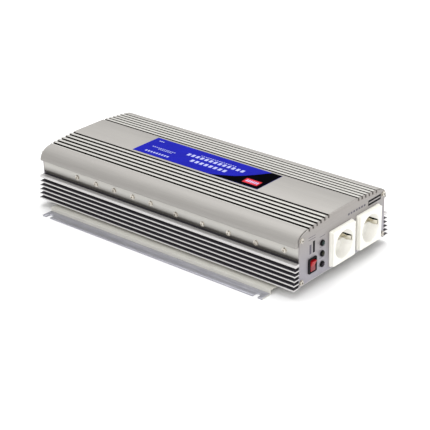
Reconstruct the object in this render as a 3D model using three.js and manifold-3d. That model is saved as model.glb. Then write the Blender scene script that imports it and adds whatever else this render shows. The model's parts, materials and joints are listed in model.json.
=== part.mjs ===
// Power inverter: a finned aluminium base, a grooved aluminium cover and two end plates
// round a switching board, with two earthed mains outlets in front and two fans and the
// battery terminals at the rear.
// Millimetres. +Z is up, -Y is the front with the outlets, +X is to the right seen from
// the front. The origin is at the centre of the bounding box, on the surface it stands on.

import * as THREE from 'three';
import { mergeVertices } from 'three/addons/utils/BufferGeometryUtils.js';
import Module from 'manifold-3d';

const wasm = await Module();
wasm.setup();

// ---- driving dimensions -------------------------------------------------------------

const GAP = 0.3; // clearance between touching pieces
const LENGTH = 460; // over the end plates
const BODY_RISE = 10.5; // the body's own zero height above the floor
const PLATE = 1.5; // thickness of the end plates
const PLATE_FACE = LENGTH / 2; // outer face of each end plate, from the middle
const PLATE_BACK = PLATE_FACE - PLATE;
const SHELL_END = PLATE_BACK - GAP; // end of both extrusions, from the middle

// cover
const TOP = 80; // flat top above the body's zero
const GROOVES = 6; // on each side
const GROOVE_FIRST = 32.8; // from the centre line
const GROOVE_PITCH = 8.1;
const GROOVE_WIDTH = 3.4;
const GROOVE_DEPTH = 4.5;
const CROWN_DROP = 0.67; // the top falls this much per groove
const SHOULDER_START = 75; // where the round shoulder begins
const SHOULDER_HALF = 99.8; // widest point of the cover
const LIP_HEIGHT = 58.4; // height of the widest point
const LIP_ROUND = 1.2;
const COVER_SKIN = 3;
const CEILING = 69; // underside of the grooved part
const BOSS_INNER = 84; // inner face of the cover's screw bosses
const FLAT_CEILING_HALF = 28.5;

// base
const FLOOR_LOW = 0.4;
const FLOOR_TOP = 3.4;
const FIN_COUNT = 5; // thin fins on each side, under the thick one
const FIN_PITCH = 6.15;
const FIN_THICKNESS = 2;
const FIN_LOWEST_TIP = 105.2;
const FIN_STEP_IN = 0.78; // each fin ends this much nearer than the one below
const FIN_ROOT = 91.5;
const FIN_EASE = 0.4; // small chamfer on a fin's tip
const THICK_FIN_LOW = 31.5;
const THICK_FIN_TOP = 35.5;
const WALL_HALF = 93.3; // recessed side wall, and the end plates
const WALL_THICKNESS = 4;
const WALL_TOP = 60.7;
const CURL_CENTRE_Z = 43.5; // the wall's foot curls in about this height
const CURL_RADIUS = 6.5;
const CURL_ANGLE = 60;
const BASE_INNER = 85;
const STANDOFF_TOP = 9.4;

// panel screws
const SCREW_X = 89.6;
const SCREW_TOP_Z = 65.8;
const SCREW_LOW_Z = 7.2;
const SCREW_R = 1.45;
const SCREW_LENGTH = 11;
const SCREW_HEAD_R = 3.1;
const SCREW_HEAD_H = 2;

// mounting rails
const RAIL_SHEET = 2;
const RAIL_HALF = 199;
const RAIL_OUTER = 129.5;
const RAIL_DROP_X = 112.5;
const RAIL_SHELF = 7.5;
const SLOT_Y = 188;
const SLOT_R = 4;
const SLOT_CENTRE_X = 124.5;
const RAIL_PAD_INNER = 86; // the raised strip that carries the case
const RAIL_PAD_OUTER = 96;

// outlets
const OUTLET_XS = [-6.6, 53.1];
const OUTLET_Z = 31.4;
const OUTLET_SIZE = 50;
const OUTLET_PROUD = 7;
const HOUSING_R = 23.2;
const HOUSING_DEPTH = 24;
const WELL_R = 19.5;
const WELL_DEPTH = 17.5;
const PIN_OFFSET = 9.5;
const PIN_HOLE_R = 3.2;
const PIN_HOLE_DEPTH = 11;
const CLIP_WIDTH = 6;
const CLIP_SHEET = 0.8;
const CLIP_BEND = 2.6; // how far each contact bows into the well
const CLIP_TIP = 4; // tip of the contact behind the outlet's face
const OUTLET_STEP = 0.8; // the raised square is this much smaller all round

// power switch
const SWITCH_X = -67.4;
const SWITCH_Z = 23.8;
const BEZEL_W = 17;
const BEZEL_H = 21;
const BEZEL_T = 2;
const ROCKER_W = 10.4;
const ROCKER_REACH = 7.2; // from the pivot to each end
const ROCKER_TILT = 9; // degrees, upper end out
const PIVOT_BACK = 1; // pivot behind the end plate's face
const TRUNNION_R = 1;
const MOUTH_HALF_H = 8.8; // opening in the bezel that the rocker tilts in
const SWITCH_DEPTH = 20; // housing behind the end plate

// indicator lamps
const LAMP_X = -46.5;
const LAMP_ZS = { upper: 46.7, middle: 31.8, lower: 16.9 };
const LAMP_R = 4.2;

// fans
const FAN_X = 52.5;
const FAN_Z = 37.5;
const FAN_SIZE = 60;
const FAN_DEPTH = 25;
const FAN_BORE_R = 28.5;
const FAN_HOLE = 25; // mounting hole offset from the fan's centre
const HUB_R = 14;
const BLADES = 7;
const BLADE_TILT = 38;
const BLADE_REACH = 14;
const BLADE_SHEET = 1.6;
const BLADE_CHORD = 17;
const MOTOR_CUP = 5; // depth of the cup that carries the motor
const GUARD_WIRE = 1.6;
const GUARD_RINGS = [11, 19.5, 28];

// battery terminals
const TERMINAL_ZS = { positive: 48, negative: 22.4 };
const TERMINAL_BASE_R = 12.6;
const TERMINAL_BASE_T = 6;
const STUD_R = 4;
const STUD_END = 262;
const COLLAR_R = 8.5;
const COLLAR_T = 3;
const WASHER_T = 1.6;
const KNOB_R = 11;
const KNOB_T = 16;
const KNOB_FLUTES = 12;
const FLUTE_R = 1.6;
const GROUND_Z = 70;

// inside
const BOARD_T = 1.6;
const BOARD_Z = STANDOFF_TOP + GAP;
const BOARD_TOP = BOARD_Z + BOARD_T;
const TRANSFORMER_YS = [-60, 15, 90];
const TRANSFORMER_H = 46;
const BANK_LOW = 45; // transistor strips, heights on the side walls
const BANK_TOP = 60;
const BUSBAR_HALF = 6;
const BUSBAR_X = 14; // the two poles' strips run down the board this far either side of the middle

// label
const LABEL_HALF_W = 27.2;
const LABEL_FRONT = -110;
const LABEL_REAR = 114.5;
const LABEL_T = 0.3;

// ---- finishes -----------------------------------------------------------------------

const finish = (color, roughness, metalness) => ({ color, roughness, metalness });
const SATIN_ALUMINIUM = finish('#c6c4be', 0.38, 0.9);
const PANEL_PAINT = finish('#bdbac0', 0.5, 0.3);
const ZINC_STEEL = finish('#a4a4aa', 0.4, 0.8);
const BRIGHT_STEEL = finish('#cfccc6', 0.25, 1);
const OUTLET_IVORY = finish('#f4f1e8', 0.35, 0);
const SPRING_BRASS = finish('#d8cfae', 0.25, 1);
const BLACK_PLASTIC = finish('#17161a', 0.45, 0);
const ROCKER_RED = finish('#d8303a', 0.3, 0);
const LAMP_BLACK = finish('#141316', 0.3, 0);
const FAN_BLACK = finish('#1b1b1d', 0.55, 0);
const TERMINAL_RED = finish('#b01a1c', 0.4, 0);
const BRASS = finish('#c9a65a', 0.3, 1);
const LABEL_BLUE = finish('#1c22b5', 0.4, 0);
const BOARD_GREEN = finish('#1f5a37', 0.6, 0);
const FERRITE = finish('#2c2c2e', 0.7, 0.1);
const COPPER_TAPE = finish('#b5702e', 0.45, 0.6);
const CAPACITOR_SLEEVE = finish('#23305c', 0.4, 0);
const TRANSISTOR_BLACK = finish('#202022', 0.5, 0);

// ---- geometry helpers ---------------------------------------------------------------

/** A manifold solid from a closed three.js geometry. */
function solid(geometry) {
  const bare = geometry.clone();
  bare.deleteAttribute('normal');
  bare.deleteAttribute('uv');
  const merged = mergeVertices(bare, 1e-4);
  const mesh = new wasm.Mesh({
    numProp: 3,
    vertProperties: new Float32Array(merged.attributes.position.array),
    triVerts: new Uint32Array(merged.index.array),
  });
  return new wasm.Manifold(mesh);
}

/** The geometry of a manifold solid. */
function geometryOf(manifold) {
  const mesh = manifold.getMesh();
  const geometry = new THREE.BufferGeometry();
  geometry.setAttribute('position', new THREE.BufferAttribute(mesh.vertProperties, 3));
  geometry.setIndex(new THREE.BufferAttribute(mesh.triVerts, 1));
  geometry.computeVertexNormals();
  return geometry;
}

/** One geometry: the first one with the added ones joined and the cut ones taken away. */
function combine(first, { add = [], cut = [] }) {
  let result = solid(first);
  for (const piece of add) {
    result = result.add(solid(piece));
  }
  for (const piece of cut) {
    result = result.subtract(solid(piece));
  }
  return geometryOf(result);
}

/** A box between two corners. */
function box([x0, y0, z0], [x1, y1, z1]) {
  const geometry = new THREE.BoxGeometry(x1 - x0, y1 - y0, z1 - z0);
  geometry.translate((x0 + x1) / 2, (y0 + y1) / 2, (z0 + z1) / 2);
  return geometry;
}

/** A round bar along Y at (x, z), from y0 to y1. */
function barY(radius, x, z, y0, y1, sides = 20) {
  const geometry = new THREE.CylinderGeometry(radius, radius, y1 - y0, sides);
  geometry.translate(x, (y0 + y1) / 2, z);
  return geometry;
}

/** A round bar along Z at (x, y), from z0 to z1. */
function barZ(radius, x, y, z0, z1, sides = 20) {
  const geometry = new THREE.CylinderGeometry(radius, radius, z1 - z0, sides);
  geometry.rotateX(Math.PI / 2);
  geometry.translate(x, y, (z0 + z1) / 2);
  return geometry;
}

/** A round bar along X at (y, z), from x0 to x1. */
function barX(radius, y, z, x0, x1, sides = 12) {
  const geometry = new THREE.CylinderGeometry(radius, radius, x1 - x0, sides);
  geometry.rotateZ(Math.PI / 2);
  geometry.translate((x0 + x1) / 2, y, z);
  return geometry;
}

/** An outline in X and Z extruded along Y from y0 to y1. */
function extrudeY(points, y0, y1) {
  const shape = new THREE.Shape(points.map(([x, z]) => new THREE.Vector2(x, z)));
  const geometry = new THREE.ExtrudeGeometry(shape, { depth: y1 - y0, bevelEnabled: false });
  geometry.rotateX(Math.PI / 2);
  geometry.translate(0, y1, 0);
  return geometry;
}

/** An outline in Y and Z extruded along X from x0 to x1. */
function extrudeX(points, x0, x1) {
  const shape = new THREE.Shape(points.map(([y, z]) => new THREE.Vector2(y, z)));
  const geometry = new THREE.ExtrudeGeometry(shape, { depth: x1 - x0, bevelEnabled: false });
  geometry.rotateX(Math.PI / 2);
  geometry.rotateZ(Math.PI / 2);
  geometry.translate(x0, 0, 0);
  return geometry;
}

/** An outline in X and Y extruded along Z from z0 to z1. */
function extrudeZ(points, z0, z1) {
  const shape = new THREE.Shape(points.map(([x, y]) => new THREE.Vector2(x, y)));
  const geometry = new THREE.ExtrudeGeometry(shape, { depth: z1 - z0, bevelEnabled: false });
  geometry.translate(0, 0, z0);
  return geometry;
}

/** A turned piece about a line along Y at (x, z): profile points are [radius, y]. */
function turnedY(profile, x, z, sides = 20) {
  const points = profile.map(([r, y]) => new THREE.Vector2(r, y));
  const geometry = new THREE.LatheGeometry(points, sides);
  geometry.translate(x, 0, z);
  return geometry;
}

/** Both halves of an outline that is given on its right side only, from low to high. */
function mirrored(half) {
  const left = half.map(([x, z]) => [-x, z]).reverse();
  return [...half, ...left];
}

/** Points on an ellipse's quarter, from angle t0 to t1 in degrees measured from the top. */
function ellipseArc(cx, cz, a, b, t0, t1, steps) {
  const points = [];
  for (let i = 0; i <= steps; i += 1) {
    const t = THREE.MathUtils.degToRad(t0 + ((t1 - t0) * i) / steps);
    points.push([cx + a * Math.sin(t), cz + b * Math.cos(t)]);
  }
  return points;
}

const root = new THREE.Group();
root.position.y = -(STUD_END - (PLATE_FACE + GAP + OUTLET_PROUD)) / 2;
const body = new THREE.Group();
body.position.z = BODY_RISE;
root.add(body);

/** Adds one named piece to a group. */
function place(name, geometry, look, parent = body) {
  const material = new THREE.MeshStandardMaterial(look);
  const mesh = new THREE.Mesh(geometry, material);
  mesh.name = name;
  parent.add(mesh);
  return mesh;
}

// ---- shells -------------------------------------------------------------------------

/** Height of the crowned top between groove k - 1 and groove k. */
function landHeight(k) {
  return k === 0 ? TOP : TOP - CROWN_DROP * (k - 0.5);
}

/** The grooved top's outline, from the shoulder inwards to the first groove. */
function groovedTop() {
  const points = [];
  for (let k = GROOVES - 1; k >= 0; k -= 1) {
    const x = GROOVE_FIRST + k * GROOVE_PITCH;
    const floor = TOP - CROWN_DROP * k - GROOVE_DEPTH;
    points.push([x + GROOVE_WIDTH / 2, landHeight(k + 1)]);
    points.push([x + GROOVE_WIDTH / 2, floor]);
    points.push([x - GROOVE_WIDTH / 2, floor]);
    points.push([x - GROOVE_WIDTH / 2, landHeight(k)]);
  }
  return points;
}

const screwPlaces = [
  ['upper_left', -SCREW_X, SCREW_TOP_Z],
  ['upper_right', SCREW_X, SCREW_TOP_Z],
  ['lower_left', -SCREW_X, SCREW_LOW_Z],
  ['lower_right', SCREW_X, SCREW_LOW_Z],
];

/** Tapping holes for the panel screws at one height, in both ends of an extrusion. */
function tappedHoles(z) {
  const holes = [];
  for (const x of [-SCREW_X, SCREW_X]) {
    for (const end of [-1, 1]) {
      const depth = end * (SHELL_END - SCREW_LENGTH);
      const mouth = end * (SHELL_END + 1);
      holes.push(barY(SCREW_R + GAP, x, z, Math.min(depth, mouth), Math.max(depth, mouth), 10));
    }
  }
  return holes;
}

function makeCover() {
  const rise = landHeight(GROOVES) - LIP_HEIGHT;
  const run = SHOULDER_HALF - SHOULDER_START;
  const shoulder = ellipseArc(SHOULDER_START, LIP_HEIGHT, run, rise, 90, 6, 12);
  const seatX = WALL_HALF + 0.7;
  const half = [
    [seatX, LIP_HEIGHT - LIP_ROUND],
    [SHOULDER_HALF - LIP_ROUND, LIP_HEIGHT - LIP_ROUND],
    ...shoulder,
    ...groovedTop(),
  ];
  const underside = [
    [-FLAT_CEILING_HALF, TOP - COVER_SKIN],
    [-FLAT_CEILING_HALF, CEILING],
    [-BOSS_INNER, CEILING],
    [-BOSS_INNER, WALL_TOP + GAP],
    [-seatX, WALL_TOP + GAP],
  ];
  const back = underside.map(([x, z]) => [-x, z]).reverse();
  const outline = [...mirrored(half), ...underside.reverse(), ...back.reverse()];
  const shell = extrudeY(outline, -SHELL_END, SHELL_END);
  place('top_cover', combine(shell, { cut: tappedHoles(SCREW_TOP_Z) }), SATIN_ALUMINIUM);
}

function finOutline() {
  const points = [];
  const ease = FIN_EASE;
  for (let k = 0; k < FIN_COUNT; k += 1) {
    const low = FLOOR_LOW + k * FIN_PITCH;
    const high = low + FIN_THICKNESS;
    const tip = FIN_LOWEST_TIP - k * FIN_STEP_IN;
    if (k > 0) {
      points.push([FIN_ROOT, low]);
    }
    points.push([tip - ease, low]);
    points.push([tip, low + ease]);
    points.push([tip, high - ease]);
    points.push([tip - ease, high]);
    points.push([FIN_ROOT, high]);
  }
  return points;
}

function makeBase() {
  const thickTip = FIN_LOWEST_TIP - FIN_COUNT * FIN_STEP_IN;
  const curlX = WALL_HALF - CURL_RADIUS;
  const curl = ellipseArc(curlX, CURL_CENTRE_Z, CURL_RADIUS, CURL_RADIUS, 90 + CURL_ANGLE, 90, 5);
  const neck = curl[0][0] - 1;
  const half = [
    ...finOutline(),
    [FIN_ROOT, THICK_FIN_LOW],
    [thickTip - FIN_EASE, THICK_FIN_LOW],
    [thickTip, THICK_FIN_LOW + FIN_EASE],
    [thickTip, THICK_FIN_TOP - FIN_EASE],
    [thickTip - FIN_EASE, THICK_FIN_TOP],
    [neck, THICK_FIN_TOP],
    [neck, curl[0][1]],
    ...curl,
    [WALL_HALF, WALL_TOP],
    [WALL_HALF - WALL_THICKNESS, WALL_TOP],
    [WALL_HALF - WALL_THICKNESS, CURL_CENTRE_Z],
    [BASE_INNER, CURL_CENTRE_Z - WALL_THICKNESS],
    [BASE_INNER, FLOOR_TOP],
  ];
  const shell = extrudeY(mirrored(half), -SHELL_END, SHELL_END);
  const standoffs = [];
  for (const x of [-70, 70]) {
    for (const y of [-175, 0, 180]) {
      standoffs.push(barZ(3.5, x, y, FLOOR_TOP - 0.5, STANDOFF_TOP, 10));
    }
  }
  const holes = tappedHoles(SCREW_LOW_Z);
  place('base_shell', combine(shell, { add: standoffs, cut: holes }), SATIN_ALUMINIUM);
}

/** An end plate's blank: straight sides, round upper corners, notched where grooves end. */
function plateBlank(y0, y1) {
  const rise = landHeight(GROOVES) - LIP_HEIGHT - 1.6;
  const run = SHOULDER_HALF - SHOULDER_START - 2.5;
  const cornerEnd = THREE.MathUtils.radToDeg(Math.asin((WALL_HALF - SHOULDER_START) / run));
  const corner = ellipseArc(SHOULDER_START, LIP_HEIGHT, run, rise, cornerEnd, 8, 7);
  const half = [
    [WALL_HALF - 1, 2.9],
    [WALL_HALF, 3.9],
    ...corner,
    ...groovedTop(),
  ];
  return extrudeY(mirrored(half), y0, y1);
}

function screwClearances(y0, y1) {
  return screwPlaces.map(([, x, z]) => barY(SCREW_R + GAP, x, z, y0, y1, 8));
}

function makeFrontPanel() {
  const y0 = -PLATE_FACE - 1;
  const y1 = -PLATE_BACK + 1;
  const cuts = screwClearances(y0, y1);
  for (const x of OUTLET_XS) {
    cuts.push(barY(HOUSING_R + GAP, x, OUTLET_Z, y0, y1, 24));
  }
  for (const z of Object.values(LAMP_ZS)) {
    cuts.push(barY(LAMP_R - 0.7, LAMP_X, z, y0, y1, 12));
  }
  const w = BEZEL_W / 2 - 1.5;
  const h = BEZEL_H / 2 - 0.7;
  cuts.push(box([SWITCH_X - w, y0, SWITCH_Z - h], [SWITCH_X + w, y1, SWITCH_Z + h]));
  const blank = plateBlank(-PLATE_FACE, -PLATE_BACK);
  place('front_panel', combine(blank, { cut: cuts }), PANEL_PAINT);
}

function makeRearPanel() {
  const y0 = PLATE_BACK - 1;
  const y1 = PLATE_FACE + 1;
  const cuts = screwClearances(y0, y1);
  for (const x of [-FAN_X, FAN_X]) {
    cuts.push(barY(FAN_BORE_R, x, FAN_Z, y0, y1, 28));
  }
  for (const z of Object.values(TERMINAL_ZS)) {
    cuts.push(barY(10, 0, z, y0, y1, 20));
  }
  cuts.push(barY(2.5 + GAP, 0, GROUND_Z, y0, y1, 12));
  const blank = plateBlank(PLATE_BACK, PLATE_FACE);
  place('rear_panel', combine(blank, { cut: cuts }), PANEL_PAINT);
}

/** A pan-head screw through an end plate: end is -1 at the front and 1 at the rear. */
function panelScrew(end, x, z) {
  const seat = PLATE_FACE + GAP;
  const profile = [
    [0, seat - SCREW_LENGTH],
    [SCREW_R, seat - SCREW_LENGTH],
    [SCREW_R, seat],
    [SCREW_HEAD_R, seat],
    [SCREW_HEAD_R, seat + SCREW_HEAD_H * 0.4],
    [SCREW_HEAD_R * 0.72, seat + SCREW_HEAD_H * 0.85],
    [0, seat + SCREW_HEAD_H],
  ];
  const geometry = turnedY(profile, 0, 0, 12);
  if (end < 0) {
    geometry.rotateZ(Math.PI);
  }
  geometry.translate(x, 0, z);
  return geometry;
}

function makePanelScrews() {
  for (const [where, x, z] of screwPlaces) {
    place(`front_screw_${where}`, panelScrew(-1, x, z), BRIGHT_STEEL);
    place(`rear_screw_${where}`, panelScrew(1, x, z), BRIGHT_STEEL);
  }
}

// ---- mounting rails -----------------------------------------------------------------

function makeRails() {
  const pad = BODY_RISE + FLOOR_LOW - GAP;
  const shelfLow = RAIL_SHELF - RAIL_SHEET;
  const section = [
    [RAIL_PAD_INNER, shelfLow],
    [RAIL_DROP_X - RAIL_SHEET, shelfLow],
    [RAIL_DROP_X - RAIL_SHEET, 0],
    [RAIL_OUTER, 0],
    [RAIL_OUTER, RAIL_SHEET],
    [RAIL_DROP_X, RAIL_SHEET],
    [RAIL_DROP_X, RAIL_SHELF],
    [RAIL_PAD_OUTER, RAIL_SHELF],
    [RAIL_PAD_OUTER, pad],
    [RAIL_PAD_INNER, pad],
  ];
  const slots = [];
  for (const y of [-SLOT_Y, SLOT_Y]) {
    slots.push(barZ(SLOT_R, SLOT_CENTRE_X, y, -1, RAIL_SHEET + 1, 16));
    slots.push(box([SLOT_CENTRE_X, y - SLOT_R, -1], [RAIL_OUTER + 1, y + SLOT_R, RAIL_SHEET + 1]));
  }
  const blank = extrudeY(section, -RAIL_HALF, RAIL_HALF);
  const right = combine(blank, { cut: slots });
  place('mounting_rail_right', right, ZINC_STEEL, root);
  const left = right.clone();
  left.rotateZ(Math.PI);
  place('mounting_rail_left', left, ZINC_STEEL, root);
}

// ---- mains outlets ------------------------------------------------------------------

function makeOutlet(name, x) {
  const face = -PLATE_FACE - GAP - OUTLET_PROUD;
  const seat = -PLATE_FACE - GAP;
  const floor = face + WELL_DEPTH;
  const z = OUTLET_Z;
  const h = OUTLET_SIZE / 2;
  const frame = box([x - h, seat - 3, z - h], [x + h, seat, z + h]);
  const h2 = h - OUTLET_STEP;
  const step = box([x - h2, face, z - h2], [x + h2, seat - 2.5, z + h2]);
  const housing = barY(HOUSING_R, x, z, seat - 1, seat + HOUSING_DEPTH, 24);
  const cuts = [barY(WELL_R, x, z, face - 1, floor, 28)];
  for (const side of [-1, 1]) {
    cuts.push(barY(PIN_HOLE_R, x, z + side * PIN_OFFSET, floor - 1, floor + PIN_HOLE_DEPTH, 16));
  }
  const slotReach = WELL_R + 2;
  const slotHalf = CLIP_WIDTH / 2 + GAP;
  cuts.push(box([x - slotReach, face + 3, z - slotHalf], [x + slotReach, floor, z + slotHalf]));
  const recess = CLIP_SHEET + 2 * GAP;
  cuts.push(box([x - slotReach, floor - 1, z - slotHalf], [x + slotReach, floor + recess, z + slotHalf]));
  place(name, combine(frame, { add: [step, housing], cut: cuts }), OUTLET_IVORY);
}

/** The earth strap: a spring strip across the well's floor with a contact up each side. */
function makeEarthStrap(name, x) {
  const face = -PLATE_FACE - GAP - OUTLET_PROUD;
  const floor = face + WELL_DEPTH;
  const tip = face + CLIP_TIP;
  const reach = WELL_R + 1.2;
  const half = CLIP_WIDTH / 2;
  const z = OUTLET_Z;
  const back = floor + GAP;
  const strap = box([x - reach, back, z - half], [x + reach, back + CLIP_SHEET, z + half]);
  const arms = [-1, 1].map((side) => {
    const outline = [
      [side * reach, back + CLIP_SHEET],
      [side * (reach - CLIP_SHEET), back + CLIP_SHEET],
      [side * (reach - CLIP_SHEET - CLIP_BEND), (tip + floor) / 2 - 1],
      [side * (reach - CLIP_SHEET), tip],
      [side * reach, tip],
      [side * (reach - CLIP_BEND), (tip + floor) / 2 - 1],
    ];
    const ordered = side > 0 ? outline : [...outline].reverse();
    const arm = extrudeZ(ordered, z - half, z + half);
    arm.translate(x, 0, 0);
    return arm;
  });
  place(name, combine(strap, { add: arms }), SPRING_BRASS);
}

function makeOutlets() {
  makeOutlet('outlet_left', OUTLET_XS[0]);
  makeOutlet('outlet_right', OUTLET_XS[1]);
  makeEarthStrap('earth_strap_left', OUTLET_XS[0]);
  makeEarthStrap('earth_strap_right', OUTLET_XS[1]);
}

// ---- power switch -------------------------------------------------------------------

function makeSwitch() {
  const seat = -PLATE_FACE - GAP;
  const front = seat - BEZEL_T;
  const pivot = -PLATE_FACE + PIVOT_BACK;
  const w = BEZEL_W / 2;
  const h = BEZEL_H / 2;
  const x = SWITCH_X;
  const z = SWITCH_Z;
  const flange = box([x - w, front, z - h], [x + w, seat, z + h]);
  const housing = box([x - w + 1.8, seat - 1, z - h + 1], [x + w - 1.8, seat + SWITCH_DEPTH, z + h - 1]);
  const mouthW = ROCKER_W / 2 + GAP;
  const mouth = box([x - mouthW, front - 1, z - MOUTH_HALF_H], [x + mouthW, pivot + 5, z + MOUTH_HALF_H]);
  const bearing = barX(TRUNNION_R + GAP, pivot, z, x - mouthW - 0.9, x + mouthW + 0.9);
  place('switch_housing', combine(flange, { add: [housing], cut: [mouth, bearing] }), BLACK_PLASTIC);

  const outline = [
    [-4.6, -ROCKER_REACH],
    [3, -6.2],
    [3, 6.2],
    [-4.6, ROCKER_REACH],
    [-3, 0],
  ];
  const key = extrudeX(outline, -ROCKER_W / 2, ROCKER_W / 2);
  const trunnion = barX(TRUNNION_R, 0, 0, -ROCKER_W / 2 - 0.8, ROCKER_W / 2 + 0.8);
  const rocker = combine(key, { add: [trunnion] });
  rocker.rotateX(THREE.MathUtils.degToRad(ROCKER_TILT));
  rocker.translate(x, pivot, z);
  place('power_rocker', rocker, ROCKER_RED);
}

// ---- indicator lamps ----------------------------------------------------------------

function makeLamps() {
  const seat = -PLATE_FACE - GAP;
  const profile = [
    [0, seat + 9],
    [LAMP_R - 1, seat + 9],
    [LAMP_R - 1, seat],
    [LAMP_R, seat],
    [LAMP_R, seat - 1.2],
    [LAMP_R - 0.8, seat - 2],
    [2.5, seat - 2],
    [2.2, seat - 2.8],
    [1.3, seat - 3.5],
    [0, seat - 3.8],
  ];
  for (const [where, z] of Object.entries(LAMP_ZS)) {
    place(`indicator_${where}`, turnedY([...profile].reverse(), LAMP_X, z, 16), LAMP_BLACK);
  }
}

// ---- fans ---------------------------------------------------------------------------

function makeFanFrame(name, cx) {
  const rear = PLATE_BACK - GAP;
  const front = rear - FAN_DEPTH;
  const h = FAN_SIZE / 2;
  const z = FAN_Z;
  const frame = box([cx - h, front, z - h], [cx + h, rear, z + h]);
  const bore = barY(FAN_BORE_R - 0.3, cx, z, front - 1, rear + 1, 28);
  const motorCup = barY(HUB_R, cx, z, front, front + MOTOR_CUP, 20);
  const arm = (angle) => {
    const bar = new THREE.BoxGeometry(2 * FAN_BORE_R + 1, 3, 3.5);
    bar.translate(0, 1.5, 0);
    bar.rotateY(angle);
    bar.translate(cx, front, z);
    return bar;
  };
  const holes = [];
  for (const dx of [-FAN_HOLE, FAN_HOLE]) {
    for (const dz of [-FAN_HOLE, FAN_HOLE]) {
      holes.push(barY(2.2, cx + dx, z + dz, front - 1, rear + 1, 8));
    }
  }
  const ring = combine(frame, { cut: [bore, ...holes] });
  const spider = combine(motorCup, { add: [arm(Math.PI / 4), arm(-Math.PI / 4)] });
  place(name, combine(ring, { add: [spider] }), FAN_BLACK);
}

function makeFanRotor(name, cx) {
  const rear = PLATE_BACK - GAP;
  const front = rear - FAN_DEPTH + MOTOR_CUP + 1;
  const back = rear - 3;
  const middle = (front + back) / 2 + 1;
  const blades = [];
  for (let i = 0; i < BLADES; i += 1) {
    const blade = new THREE.BoxGeometry(BLADE_REACH, BLADE_SHEET, BLADE_CHORD);
    blade.rotateX(THREE.MathUtils.degToRad(BLADE_TILT));
    blade.translate(HUB_R - 1 + BLADE_REACH / 2, 0, 0);
    blade.rotateY((i * 2 * Math.PI) / BLADES);
    blade.translate(0, middle, 0);
    blades.push(blade);
  }
  const hubProfile = [
    [0, front],
    [HUB_R, front],
    [HUB_R, back - 2],
    [HUB_R - 2, back],
    [0, back],
  ];
  const hub = turnedY(hubProfile, 0, 0, 24);
  const rotor = combine(hub, { add: blades });
  rotor.translate(cx, 0, FAN_Z);
  place(name, rotor, FAN_BLACK);
}

/** A wire guard: three rings and four legs whose feet reach the fan's mounting holes. */
function makeFanGuard(name, cx) {
  const seat = PLATE_FACE + GAP;
  const wire = GUARD_WIRE;
  const ringGeometry = (radius) => turnedY([
    [radius - wire / 2, seat],
    [radius + wire / 2, seat],
    [radius + wire / 2, seat + wire],
    [radius - wire / 2, seat + wire],
    [radius - wire / 2, seat],
  ], 0, 0, 28);
  const legs = [];
  for (const angle of [Math.PI / 4, -Math.PI / 4]) {
    const leg = new THREE.BoxGeometry(2 * FAN_HOLE * Math.SQRT2, wire, wire + 0.4);
    leg.translate(0, seat + wire / 2, 0);
    leg.rotateY(angle);
    legs.push(leg);
  }
  const feet = [];
  for (const dx of [-FAN_HOLE, FAN_HOLE]) {
    for (const dz of [-FAN_HOLE, FAN_HOLE]) {
      feet.push(barY(3.4, dx, dz, seat, seat + wire, 10));
    }
  }
  const [firstRing, ...rings] = GUARD_RINGS.map(ringGeometry);
  const guard = combine(firstRing, { add: [...rings, ...legs, ...feet] });
  guard.translate(cx, 0, FAN_Z);
  place(name, guard, BRIGHT_STEEL);
}

function makeFans() {
  for (const [where, cx] of [['left', -FAN_X], ['right', FAN_X]]) {
    makeFanFrame(`fan_frame_${where}`, cx);
    makeFanRotor(`fan_rotor_${where}`, cx);
    makeFanGuard(`fan_guard_${where}`, cx);
  }
}

// ---- battery terminals --------------------------------------------------------------

function makeTerminal(pole, z, look) {
  const seat = PLATE_FACE + GAP;
  const faceY = seat + TERMINAL_BASE_T;
  const bore = STUD_R + GAP;
  const insulator = [
    [bore, seat - 7],
    [9.6, seat - 7],
    [9.6, seat],
    [TERMINAL_BASE_R, seat],
    [TERMINAL_BASE_R, faceY - 1],
    [TERMINAL_BASE_R - 1, faceY],
    [bore, faceY],
    [bore, seat - 7],
  ];
  place(`dc_${pole}_insulator`, turnedY(insulator, 0, z), look);

  const collar = faceY + GAP;
  const stud = [
    [0, seat - 18],
    [STUD_R, seat - 18],
    [STUD_R, collar],
    [COLLAR_R, collar],
    [COLLAR_R, collar + COLLAR_T],
    [STUD_R, collar + COLLAR_T],
    [STUD_R, STUD_END - 1],
    [STUD_R - 1, STUD_END],
    [0, STUD_END],
  ];
  place(`dc_${pole}_stud`, turnedY(stud, 0, z), BRASS);

  const washerY = collar + COLLAR_T + GAP;
  const washer = [
    [bore, washerY],
    [COLLAR_R, washerY],
    [COLLAR_R, washerY + WASHER_T],
    [bore, washerY + WASHER_T],
    [bore, washerY],
  ];
  place(`dc_${pole}_washer`, turnedY(washer, 0, z), BRIGHT_STEEL);

  const knobY = washerY + WASHER_T + GAP;
  const knob = [
    [bore, knobY],
    [KNOB_R - 1, knobY],
    [KNOB_R, knobY + 1],
    [KNOB_R, knobY + KNOB_T - 1.5],
    [KNOB_R - 1.5, knobY + KNOB_T],
    [bore, knobY + KNOB_T],
    [bore, knobY],
  ];
  const flutes = [];
  for (let i = 0; i < KNOB_FLUTES; i += 1) {
    const angle = ((i + 0.5) * 2 * Math.PI) / KNOB_FLUTES;
    const fx = (KNOB_R + 0.7) * Math.cos(angle);
    const fz = (KNOB_R + 0.7) * Math.sin(angle);
    flutes.push(barY(FLUTE_R, fx, fz, knobY - 1, knobY + KNOB_T + 1, 6));
  }
  const fluted = combine(turnedY(knob, 0, 0, 24), { cut: flutes });
  fluted.translate(0, 0, z);
  place(`dc_${pole}_knob`, fluted, look);
}

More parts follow.
